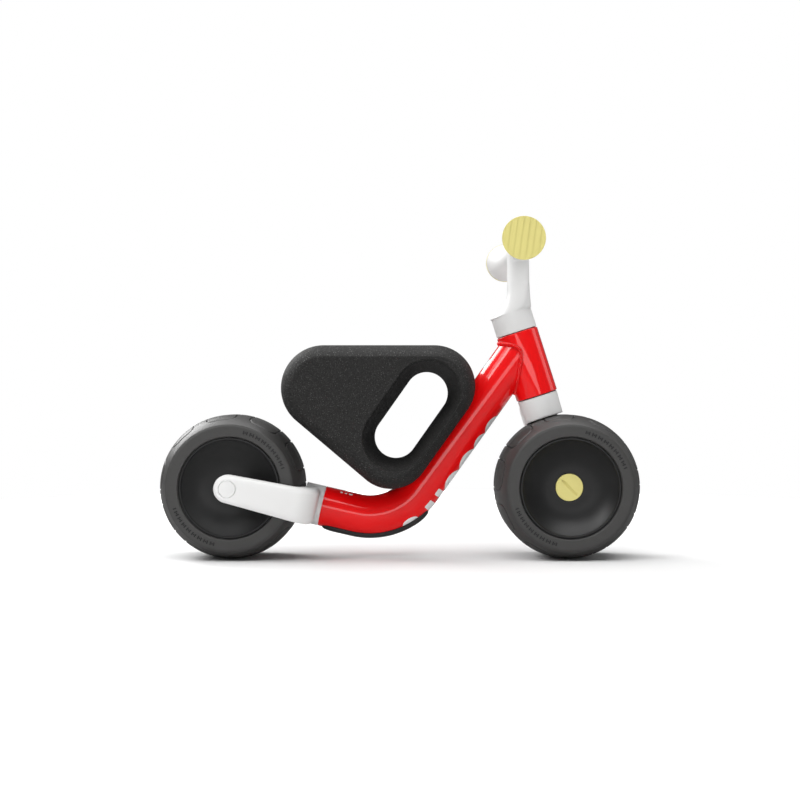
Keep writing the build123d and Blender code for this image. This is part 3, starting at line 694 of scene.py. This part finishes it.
def roundAxle(name, sector, centre, count, turn, finish):
    return runTree(name, sector, sectorTree, {
        "Count": count, "Centre": tuple(centre), "Turn": turn, "Finish": finish["material"]})


for name, centre in wheelCentres.items():
    turn = 2 * math.pi / tyre["sectors"]
    mesh = roundAxle(name + "Tyre", tyreSector(name + "Sector"), centre, tyre["sectors"], turn, tyreFinish)
    tidyMesh(mesh, mergeAt=2e-6, sharpAt=45.0)
    addPiece(name + "_tyre_body", mesh, tyreFinish, name + "_wheel", "tyre_rubber", name + "_tyre")


# raised bars on the tyre sides, each run as: count, pitch in degrees, shift in degrees, bar length
sideMarks = {"radius": 63.0, "wide": 1.5, "proud": 0.18, "sunk": 0.3, "starts": (75.0, 255.0),
             "runs": ((17, 3.4, 0.0, 4.2), (8, 6.8, 1.7, 2.0))}


def markPlate(start, tall, side):
    width = sideMarks["wide"] / 2
    outline = slotOutline(tall / 2 - width, width, 9)
    points = []
    for proud in (-sideMarks["sunk"], sideMarks["proud"]):
        for up, across in outline:
            place = heading(start - across / sideMarks["radius"]) * (sideMarks["radius"] + up)
            points.append((place + sideways * side * (tyre["halfWidth"] + proud)) * mm)
    return closedTube("markPlate", points, len(outline))


for name, centre in wheelCentres.items():
    strips = []
    for side in (1, -1):
        for startTurn in sideMarks["starts"]:
            for count, pitchTurn, shiftTurn, tall in sideMarks["runs"]:
                plate = markPlate(math.radians(startTurn - shiftTurn), tall, side)
                strips.append(roundAxle("marks", plate, centre, count, math.radians(pitchTurn), hubFinish))
    marks = tidyMesh(joinMeshes(name + "SideMarks", strips), mergeAt=1e-7)
    addPiece(name + "_tyre_side_marks", marks, hubFinish, name + "_wheel", "hub_black")
print("tyres ready")


# wheels: dished hub halves and the yellow cap with its coin slot
hub = {"lip": 53.0, "lipAt": 49.0, "barrel": 54.9, "barrelWall": 2.9, "floorAt": 34.0, "floorRadius": 20.0,
       "wall": 3.0, "lipRound": 0.9, "bowlPower": 2.3, "bearingRadius": 11.0, "boss": 18.5, "armMouth": 12.0,
       "axleHole": 8.5}
cap = {"radius": 15.1, "thick": 2.1, "round": 0.55, "baseRound": 0.15, "slotLength": 23.4, "slotWidth": 2.9,
       "slotDeep": 1.9, "slotShallow": 1.14, "room": 0.35}


def hubProfile(mouth, ledge, seatAt):
    inner, lipAt, floorAt, boss = hub["barrel"] - hub["barrelWall"], hub["lipAt"], hub["floorAt"], hub["boss"]
    top = [(0.02, inner), (0.02, hub["barrel"]), (lipAt, hub["barrel"]), (lipAt, hub["lip"]),
           (lipAt - 3.0, hub["lip"] - 4.6)]
    bowlRim = hub["lip"] - 0.7
    bowl = []
    for share in np.linspace(0.0, 1.0, 44):
        depth = (1 - share) ** hub["bowlPower"]
        radius = bowlRim - (bowlRim - hub["floorRadius"]) * share
        bowl.append((floorAt + (lipAt - 1.2 - floorAt) * depth, radius))
    floor = roundCorners([(floorAt, 19.0), (floorAt, mouth), (ledge, mouth - 0.3)], [0, 0.5, 0], 4)
    bore = [(ledge, hub["bearingRadius"]), (seatAt, hub["bearingRadius"]), (seatAt, hub["axleHole"]),
            (seatAt - 2.5, hub["axleHole"]), (seatAt - 2.5, boss), (floorAt - hub["wall"], boss)]
    back = [(x - hub["wall"], max(r - 1.2, boss)) for x, r in bowl[::-4]]
    back += [(lipAt - hub["wall"] - 1.0, inner - 1.0), (lipAt - hub["wall"] - 1.0, inner)]
    lip = roundCorners(top, [0, 0, hub["lipRound"] * 0.7, hub["lipRound"], 0], 5)
    return lip[:-1] + bowl + floor + bore + back


def makeCap(name, centre, outward):
    face = spanAlong(name, centre, outward)[1]
    rounds = (cap["baseRound"] * mm, cap["round"] * mm)
    mesh = turnedBar("cap", face - cap["thick"] * mm, face, cap["radius"] * mm, centre, outward, 128, rounds)
    along = unit([-1.0, 0.0, 1.0])
    across = np.cross(outward, along)
    width = cap["slotWidth"] / 2
    outline = slotOutline(cap["slotLength"] / 2 - width, width, 24)
    points = []
    for past in (False, True):
        for run, rise in outline:
            deep = 1.0 if past else -(cap["slotDeep"] if run > 0 else cap["slotShallow"])
            points.append(centre + outward * (face + deep * mm) + (along * run + across * rise) * mm)
    return tidyMesh(boolean("cap", mesh, closedTube("slotCutter", points, len(outline))), sharpAt=28.0)


for name, centre in wheelCentres.items():
    armWay, openWay = armWays[name], -armWays[name]
    capBase = spanAlong(name + "_hub_cap", centre, openWay)[1] / mm - cap["thick"] - 0.06
    for side, axis, mouth, ledge in (("open_side", openWay, cap["radius"] + cap["room"], capBase),
                                     ("arm_side", armWay, hub["armMouth"], hub["floorAt"] - 0.4)):
        bearingLow = spanAlong(name + "_bearing_" + side, centre, axis)[0] / mm
        profile = [(x * mm, r * mm) for x, r in hubProfile(mouth, ledge, bearingLow)]
        mesh = lathe(name + "Hub" + side, profile, centre, axis, 160, sharpAt=26.0)
        addPiece(name + "_hub_bowl_" + side, mesh, hubFinish, name + "_wheel", "hub_black",
                 name + "_hub_" + side)
    addPiece(name + "_hub_cap_disc", makeCap(name + "_hub_cap", centre, openWay), yellowFinish,
             name + "_wheel", "trim_yellow", name + "_hub_cap")
print("hubs ready")


# arms and stem: cast shapes with softly blended corners
casting = {"voxel": 1.0 * mm, "armSmooth": 10, "armSoftFrom": 20.0 * mm, "armSoftBy": 34.0 * mm,
           "stemVoxel": 0.62 * mm, "stemSmooth": 14, "stemSoftFrom": 296.0 * mm, "stemSoftBy": 312.0 * mm}


def softCasting(name, mesh, voxel, iterations, axis, low, high):
    rough = newObject(name + "_rough", mesh)
    addModifier(rough, "REMESH", {"mode": "VOXEL", "voxel_size": voxel, "use_smooth_shade": True})
    addModifier(rough, "SMOOTH", {"factor": 0.5, "iterations": 2})
    result = settledMesh(name, rough)
    thing = newObject(name + "_soft", result)
    group = thing.vertex_groups.new(name="soft")
    for vertex in result.vertices:
        weight = min(1.0, max(0.0, (abs(vertex.co[axis]) - low) / (high - low)))
        if weight > 0:
            group.add([vertex.index], weight, "REPLACE")
    addModifier(thing, "SMOOTH", {"factor": 0.5, "iterations": iterations, "vertex_group": "soft"})
    return tidyMesh(settledMesh(name, thing), sharpAt=60.0)


for name, body in (("front_arm", "steering"), ("rear_arm", "frame")):
    mesh = softCasting(name + "Casting", nodeMesh(name), casting["voxel"], casting["armSmooth"], 1,
                       casting["armSoftFrom"], casting["armSoftBy"])
    addPiece(name + "_casting", mesh, whiteFinish, body, "satin_white", name)
print("arms ready")


# steering: the stem sweeps from its round collar into a soft-square post with a cross sleeve
stem = {"collarRadius": 23.2, "collarTall": 21.6, "sweepRadius": 39.3, "sweepHeight": 300.5, "steep": 60.0,
        "postX": 133.0, "postHalf": 12.0, "postWide": 12.6, "barHeight": 343.5, "sleeveRadius": 10.7,
        "sleeveHalf": 22.0, "sleeveRound": 0.6, "crownHalf": 11.592, "crownRadius": 11.8, "around": 96,
        "steps": 30, "square": 4.2, "squarePower": 0.9, "narrowBy": 334.0, "blend": 2.5, "postFrom": 308.5,
        "steererBore": 16.02, "coreBore": 6.05, "coreDeep": 30.0, "barSweep": 2.3}
handleCentre = np.array([stem["postX"], 0.0, stem["barHeight"]]) * mm


def gripWay(way):
    sweep = math.radians(stem["barSweep"])
    return np.array([-math.sin(sweep), way * math.cos(sweep), 0.0])


def squareRing(centre, forward, length, width, power):
    ring = []
    for step in range(stem["around"]):
        turn = 2 * math.pi * step / stem["around"]
        c, s = math.cos(turn), math.sin(turn)
        x = math.copysign(abs(c) ** (2 / power), c) * length / 2
        y = math.copysign(abs(s) ** (2 / power), s) * width / 2
        ring.append(centre + forward * x + np.array([0.0, y, 0.0]))
    return ring


def makeStemPost():
    low = spanAlong("handlebar_stem", frontAxle, headUp)[0] / mm
    collarTop = low + stem["collarTall"]
    axle = frontAxle / mm
    rings = []
    for height, inset in ((low, 0.5), (low + 0.12, 0.2), (low + 0.5, 0.0), (collarTop - 0.05, 0.0)):
        across = 2 * (stem["collarRadius"] - inset)
        rings += squareRing(axle + headUp * height, headForward, across, across, 2.0)
    front = axle + headForward * stem["collarRadius"]
    postFront = stem["postX"] + stem["postHalf"]
    sweepCentre = np.array([stem["postX"] - stem["postHalf"] - stem["sweepRadius"], 0.0, stem["sweepHeight"]])
    collarMiddle = (axle + headUp * collarTop)[2]

    def halfWide(height):
        share = min(1.0, max(0.0, (height - collarMiddle) / (stem["narrowBy"] - collarMiddle)))
        return stem["collarRadius"] + (stem["postWide"] - stem["collarRadius"]) * share**2 * (3 - 2 * share)

    for share in np.linspace(0.0, 1.0, stem["steps"] + 1):
        rear = sweepCentre + heading(-math.radians(stem["steep"]) * (1 - share)) * stem["sweepRadius"]
        alongCollar = np.cross(front - rear, headUp)[1] / np.cross(headForward, headUp)[1]
        alongPost = (postFront - rear[0]) / headForward[0]
        blend = stem["blend"]
        length = math.log(math.exp(alongCollar / blend) + math.exp(alongPost / blend)) * blend
        middle = rear + headForward * length / 2
        power = 2.0 + (stem["square"] - 2.0) * share ** stem["squarePower"]
        rings += squareRing(middle, headForward, length, 2 * halfWide(middle[2]), power)
    for height in np.linspace(stem["postFrom"], stem["barHeight"], 14):
        rings += squareRing(np.array([stem["postX"], 0.0, height]), heading(0.0), 2 * stem["postHalf"],
                            2 * halfWide(height), stem["square"])
    mesh = closedTube("stemPost", np.array(rings) * mm, stem["around"])
    for half, radius, edge in ((stem["sleeveHalf"], stem["sleeveRadius"], stem["sleeveRound"]),
                               (stem["crownHalf"], stem["crownRadius"], 0.0)):
        bar = turnedBar("bar", -half * mm, half * mm, radius * mm, handleCentre, sideways,
                        rounds=(edge * mm, edge * mm), roundSteps=4)
        mesh = boolean("stemPost", mesh, bar, "UNION")
    mesh = softCasting("stemPost", mesh, casting["stemVoxel"], casting["stemSmooth"], 2,
                       casting["stemSoftFrom"], casting["stemSoftBy"])
    steererBore = turnedBar("steererBore", low * mm - 0.01, collarTop * mm, stem["steererBore"] * mm,
                            frontAxle, headUp)
    mesh = boolean("stemPost", mesh, steererBore)
    for way in (1, -1):
        coreBore = turnedBar("coreBore", 0.0, stem["coreDeep"] * mm, stem["coreBore"] * mm, handleCentre,
                             gripWay(way), 48)
        mesh = boolean("stemPost", mesh, coreBore)
    return mesh


addPiece("handlebar_stem_post", makeStemPost(), whiteFinish, "steering", "satin_white", "handlebar_stem")
print("stem ready")


# steering: trumpet grips with yellow ribbed end caps
grip = {"neck": 9.6, "swell": 0.5, "rim": 22.2, "inner": 22.8, "flareAt": 0.50, "flarePower": 4.2,
        "earlyShare": 0.30, "edge": 0.5, "socket": 19.6, "socketDeep": 7.0, "socketFloor": 14.6}
endCap = {"radius": 22.6, "thick": 2.4, "round": 0.7, "baseRound": 0.2, "pitch": 6.4, "tilt": 8.0,
          "deep": 0.5, "ribs": 7, "firstRib": 3.45, "ribHalfLength": 30.0, "ribPast": 0.4}


def gripReach(way, side):
    direction = gripWay(way)
    face = spanAlong("grip_cap_" + side, handleCentre, direction)[1]
    return direction, face, face - endCap["thick"] * mm


def makeGrip(way, side):
    direction, face, rimAt = gripReach(way, side)
    inner, rim, neck, swell, edge = grip["inner"], rimAt / mm, grip["neck"], grip["swell"], grip["edge"]
    flare = []
    for share in np.linspace(0.0, 1.0, 60)[1:-1]:
        late = max(0.0, (share - grip["flareAt"]) / (1 - grip["flareAt"]))
        opening = grip["earlyShare"] * late**2 + (1 - grip["earlyShare"]) * late ** grip["flarePower"]
        radius = neck + swell * share + (grip["rim"] - neck - swell) * opening
        flare.append((inner + (rim - inner) * share, radius))
    socketAt = rim - grip["socketDeep"]
    profile = [(inner, stem["coreBore"]), (inner, neck - edge), (inner + edge, neck)] + flare
    profile += [(rim - 0.15, grip["rim"]), (rim, grip["rim"] - edge), (rim, grip["socket"]),
                (socketAt, grip["socketFloor"]), (socketAt, stem["coreBore"])]
    profile = [(along * mm, radius * mm) for along, radius in profile]
    return lathe("grip", profile, handleCentre, direction, 144, sharpAt=35.0)


def ribCutterTree():
    tree, inputs, outputs = newShapeTree("ribsAcrossFace", {
        "Rib": "Geometry", "Count": "Int", "Start": "Vector", "Step": "Vector"})
    line = addNode(tree, "GeometryNodeMeshLine", {
        "Count": inputs["Count"], "Start Location": inputs["Start"], "Offset": inputs["Step"]}, mode="OFFSET")
    place = addNode(tree, "GeometryNodeInstanceOnPoints", {
        "Points": line.outputs[0], "Instance": inputs["Rib"]})
    return endShapeTree(tree, inputs, outputs, place.outputs[0])


ribTree = ribCutterTree()


def makeEndCap(way, side):
    direction, face, rimAt = gripReach(way, side)
    rounds = (endCap["baseRound"] * mm, endCap["round"] * mm)
    mesh = turnedBar("endCap", rimAt + 0.02 * mm, face, endCap["radius"] * mm, handleCentre, direction, 160,
                     rounds)
    tilt = math.radians(endCap["tilt"])
    upright = heading(math.pi / 2 - tilt)
    across = np.cross(upright, sideways)
    across = unit(across - direction * (across @ direction))
    across = across * (1 if across[0] > 0 else -1)
    pitch, deep, past, half = (endCap[key] * mm for key in ("pitch", "deep", "ribPast", "ribHalfLength"))
    section = [(-0.04 * pitch, past), (0.0, 0.0), (0.14 * pitch, -deep * 0.62), (0.26 * pitch, -deep),
               (0.6 * pitch, -deep * 0.55), (0.94 * pitch, 0.0), (0.98 * pitch, past)]
    points = []
    for end in (-half, half):
        points += [across * run + direction * rise + upright * end for run, rise in section]
    start = handleCentre + direction * face - across * pitch * endCap["firstRib"]
    cutter = runTree("ribs", closedTube("rib", points, len(section)), ribTree, {
        "Count": endCap["ribs"], "Start": tuple(start), "Step": tuple(across * pitch),
        "Finish": yellowFinish["material"]})
    return tidyMesh(boolean("endCap", mesh, tidyMesh(cutter, mergeAt=1e-7)), sharpAt=24.0)


for way, side in ((1, "left"), (-1, "right")):
    addPiece("grip_trumpet_" + side, makeGrip(way, side), whiteFinish, "steering", "satin_white",
             "grip_" + side)
    addPiece("grip_end_" + side, makeEndCap(way, side), yellowFinish, "steering", "trim_yellow",
             "grip_cap_" + side)
print("grips ready")


# frame: the foam seat, rounded towards its sides, with a carry slot through it
seat = {"lobes": [(-83.5, 189.4, 47.0), (-9.8, 121.7, 42.9), (37.7, 191.6, 44.8)], "half": 65.0,
        "roundFrom": 40.4, "roundRadius": 30.0, "roundTurn": 55.0, "crease": 3.08, "slotMiddle": (12.7, 159.35),
        "slotSpan": 60.35, "slotTilt": 54.8, "slotRadius": 23.8, "slotFlare": 11.6, "slotLip": 6.0,
        "lobeSteps": 64, "sideSteps": 45, "tubeGap": 0.3, "tubeSteps": 96}


def hullOutline(inset):
    lobes = [(x, z, max(r - inset, 2.0)) for x, z, r in seat["lobes"]]
    turns = []
    for (x1, z1, r1), (x2, z2, r2) in zip(lobes, lobes[1:] + lobes[:1]):
        turns.append(math.atan2(z2 - z1, x2 - x1) - math.acos((r1 - r2) / math.hypot(x2 - x1, z2 - z1)))
    outline = []
    for number, (x1, z1, r1) in enumerate(lobes):
        into, leave = turns[number - 1], turns[number]
        turn = (leave - into) % (2 * math.pi)
        for step in range(seat["lobeSteps"]):
            angle = into + turn * step / seat["lobeSteps"]
            outline.append((x1 + r1 * math.cos(angle), z1 + r1 * math.sin(angle)))
        x2, z2, r2 = lobes[(number + 1) % 3]
        begin = np.array([x1 + r1 * math.cos(leave), z1 + r1 * math.sin(leave)])
        end = np.array([x2 + r2 * math.cos(leave), z2 + r2 * math.sin(leave)])
        for step in range(seat["sideSteps"]):
            outline.append(begin + (end - begin) * step / seat["sideSteps"])
    return outline


def seatLayers():
    layers = [(0.0, y) for y in np.linspace(0.0, seat["roundFrom"], 7)]
    radius = seat["roundRadius"]
    for turn in np.linspace(0, math.radians(seat["roundTurn"]), 15)[1:]:
        layers.append((radius * (1 - math.cos(turn)), seat["roundFrom"] + radius * math.sin(turn)))
    inset, side = layers[-1][0], seat["half"]
    fillet = roundCorners([layers[-2], (inset + 0.3, side), (inset + 8.0, side)], [0, seat["crease"], 0], 7)
    layers = layers[:-1] + fillet[1:-1] + [(inset + 5.0, side)]
    return [(inset, -y) for inset, y in layers[:0:-1]] + layers


def slotCutter():
    tilt = math.radians(seat["slotTilt"])
    run, rise = heading(tilt), heading(tilt + math.pi / 2)
    middle = np.array([seat["slotMiddle"][0], 0.0, seat["slotMiddle"][1]])
    lip, half = seat["slotLip"], seat["half"]
    levels = []
    for share in np.linspace(0.0, 1.0, 16):
        flare = seat["slotFlare"] * share + 1.6 * max(0.0, (share - 0.9) / 0.1) ** 2
        levels.append((lip + (half + 0.6 - lip) * share, seat["slotRadius"] + flare))
    points = []
    for y, radius in [(-y, radius) for y, radius in levels[::-1]] + levels:
        outline = slotOutline(seat["slotSpan"] / 2, radius, 40)
        points += [(middle + run * along + rise * up + sideways * y) * mm for along, up in outline]
    return closedTube("slotCutter", points, len(outline))


def makeSeat():
    points = []
    for inset, y in seatLayers():
        outline = hullOutline(inset)
        points += [(x * mm, y * mm, z * mm) for x, z in outline]
    mesh = boolean("seatFoam", closedTube("seatFoam", points, len(outline)), slotCutter())
    route = tubeRoute(tubeStart - tubeBack * 0.02, jointPoint + tubeFront * 0.02, 40, 4)
    around = seat["tubeSteps"]
    rings = sweptRings(route, mainTube["radius"] + seat["tubeGap"] * mm, around)
    return tidyMesh(boolean("seatFoam", mesh, closedTube("tubeCutter", rings, around)), sharpAt=38.0)


seatPiece = addPiece("seat_foam_body", makeSeat(), foamFinish, "frame", "seat_foam", "seat_foam")
print("seat ready")


# frame: the rubber skid pad under the bend
pad = {"inner": 22.52, "thick": 3.1, "thin": 0.4, "spread": 32.0, "narrow": 0.72, "turn": 58.0, "start": 5.0,
       "taper": 14.0, "edge": 0.20, "edgeThin": 0.12, "across": 40, "straightSteps": 24, "bendSteps": 60}


def makePad():
    padStart = tubeStart + tubeBack * pad["start"] * mm
    route = straightRun(padStart, bendStart, tubeBack, pad["straightSteps"])
    route += bendRun(math.radians(pad["turn"]), pad["bendSteps"])
    lengths = runLengths(route)
    shares = np.linspace(-1.0, 1.0, pad["across"] + 1)
    points = []
    for (point, direction), run in zip(route, lengths):
        near = min(run, lengths[-1] - run) / mm
        endShare = math.sqrt(max(0.0, 1 - (1 - min(near / pad["taper"], 1.0)) ** 2))
        thick = pad["thin"] + (pad["thick"] - pad["thin"]) * endShare
        spread = math.radians(pad["spread"]) * (pad["narrow"] + (1 - pad["narrow"]) * endShare)
        down = np.cross(sideways, direction)
        for outer, order in ((True, shares), (False, shares[::-1])):
            for share in order:
                edge = math.sqrt(max(0.0, 1 - max(0.0, (abs(share) - 1 + pad["edge"]) / pad["edge"]) ** 2))
                rise = thick * (pad["edgeThin"] + (1 - pad["edgeThin"]) * edge) if outer else 0.0
                turn = spread * share
                way = down * math.cos(turn) + sideways * math.sin(turn)
                points.append(point + way * (pad["inner"] + rise) * mm)
    return closedTube("skidPad", points, 2 * len(shares), sharpAt=40.0)


addPiece("skid_pad_sole", makePad(), padFinish, "frame", "pad_black", "skid_pad")


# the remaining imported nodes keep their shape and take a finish
steelNodes = ["steering_stop_pin", "steerer_tube", "seat_bolts", "seat_nuts", "rear_arm_screw",
              "front_arm_screw", "stem_screw", "handlebar_core_left", "handlebar_core_right"]
wheelSteel = ["_bearing_arm_side", "_bearing_open_side", "_axle_spacer", "_axle_bolt", "_axle_nut"]
steelNodes += [name + part for name in wheelCentres for part in wheelSteel]
bushNodes = ["lower_headset_bush", "upper_headset_bush"]
coverNodes = [name + "_nut_cover" for name in wheelCentres]
for finish, nodes in ((steelFinish, steelNodes), (bushFinish, bushNodes), (whiteFinish, coverNodes)):
    for node in nodes:
        mesh = frame["nodes"][node].data
        mesh.materials.clear()
        mesh.materials.append(finish["material"])
print("packed nodes finished")


# the plain pale floor, soft lights and the camera; each light as: energy, width, height, place, aim
studio = {"floorRadius": 1.1, "fadeFrom": 0.5, "floorTone": 0.92, "floorMirrored": 0.22, "floorSeen": 0.80,
          "floorRough": 0.7, "surround": 0.13, "backdrop": 1.0, "lens": 60.1, "sensor": 36.0, "back": 1.505,
          "height": 0.1763, "lights": {
              "overhead": (69.0, 3.0, 2.6, (-0.1, -0.25, 1.9), (0.0, 0.0, 0.1)),
              "softFront": (3.6, 1.40, 0.34, (0.12, -1.80, 0.22), (0.10, 0.0, 0.20)),
              "highLeft": (8.0, 0.40, 0.9, (-1.15, -1.0, 1.25), (0.05, 0.0, 0.15)),
              "backLeft": (30.0, 1.1, 1.0, (-1.3, 1.2, 1.2), (0.0, 0.0, 0.15)),
              "sideRight": (3.0, 0.8, 0.9, (1.8, 0.2, 0.9), (0.0, 0.0, 0.15))}}


def makeFloor():
    material, tree, shader = newMaterial("paleFloor")
    rays = addNode(tree, "ShaderNodeLightPath").outputs
    # glossy rays see the floor at a darker tone and the camera at a tone of its own: its reflections are
    # painted dimmer than its light
    tone = mapRange(tree, rays["Is Glossy Ray"], toMin=studio["floorTone"], toMax=studio["floorMirrored"])
    seen = mapRange(tree, rays["Is Camera Ray"], toMin=tone, toMax=studio["floorSeen"])
    place = addNode(tree, "ShaderNodeTexCoord").outputs["Object"]
    reach = addNode(tree, "ShaderNodeVectorMath", {0: place}, operation="LENGTH").outputs["Value"]
    # towards its rim the floor glows, for the camera only: painted light that melts its edge into the backdrop
    paintedRimGlow = mapRange(tree, reach, studio["fadeFrom"], studio["floorRadius"])
    feed(tree, shader, {
        "Base Color": seen, "Roughness": studio["floorRough"], "Emission Color": (1.0, 1.0, 1.0, 1.0),
        "Emission Strength": addMath(tree, "MULTIPLY", paintedRimGlow, rays["Is Camera Ray"])})
    turns = np.linspace(0, 2 * math.pi, 96, endpoint=False)
    rim = [heading(turn)[[0, 2, 1]] * studio["floorRadius"] for turn in turns]
    return newObject("floor", newMesh("floor", rim, [tuple(range(96))]), {"material": material})


def addLight(name, energy, width, height, place, aim):
    data = bpy.data.lights.new(name, "AREA")
    data.energy = energy
    data.shape = "RECTANGLE"
    data.size = width
    data.size_y = height
    thing = newObject(name, data)
    thing.location = place
    way = unit(np.array(aim) - np.array(place))
    thing.rotation_euler = (math.acos(-way[2]), 0.0, math.atan2(way[1], way[0]) - math.pi / 2)


floor = makeFloor()
for name, values in studio["lights"].items():
    addLight(name, *values)
world = bpy.data.worlds.new("paleStudio")
world.use_nodes = True
background = next(node for node in world.node_tree.nodes if node.type == "BACKGROUND")
sight = addNode(world.node_tree, "ShaderNodeLightPath").outputs["Is Camera Ray"]
level = mapRange(world.node_tree, sight, toMin=studio["surround"], toMax=studio["backdrop"])
feed(world.node_tree, background, {"Color": (1.0, 1.0, 1.0, 1.0), "Strength": level})
scene = bpy.context.scene
scene.world = world
scene.view_settings.view_transform = "Standard"
cameraData = bpy.data.cameras.new("camera")
cameraData.lens = studio["lens"]
cameraData.sensor_width = studio["sensor"]
camera = newObject("camera", cameraData)
camera.location = (0.0, -studio["back"], studio["height"])
camera.rotation_euler = (math.pi / 2, 0.0, 0.0)
scene.camera = camera
print("studio ready")
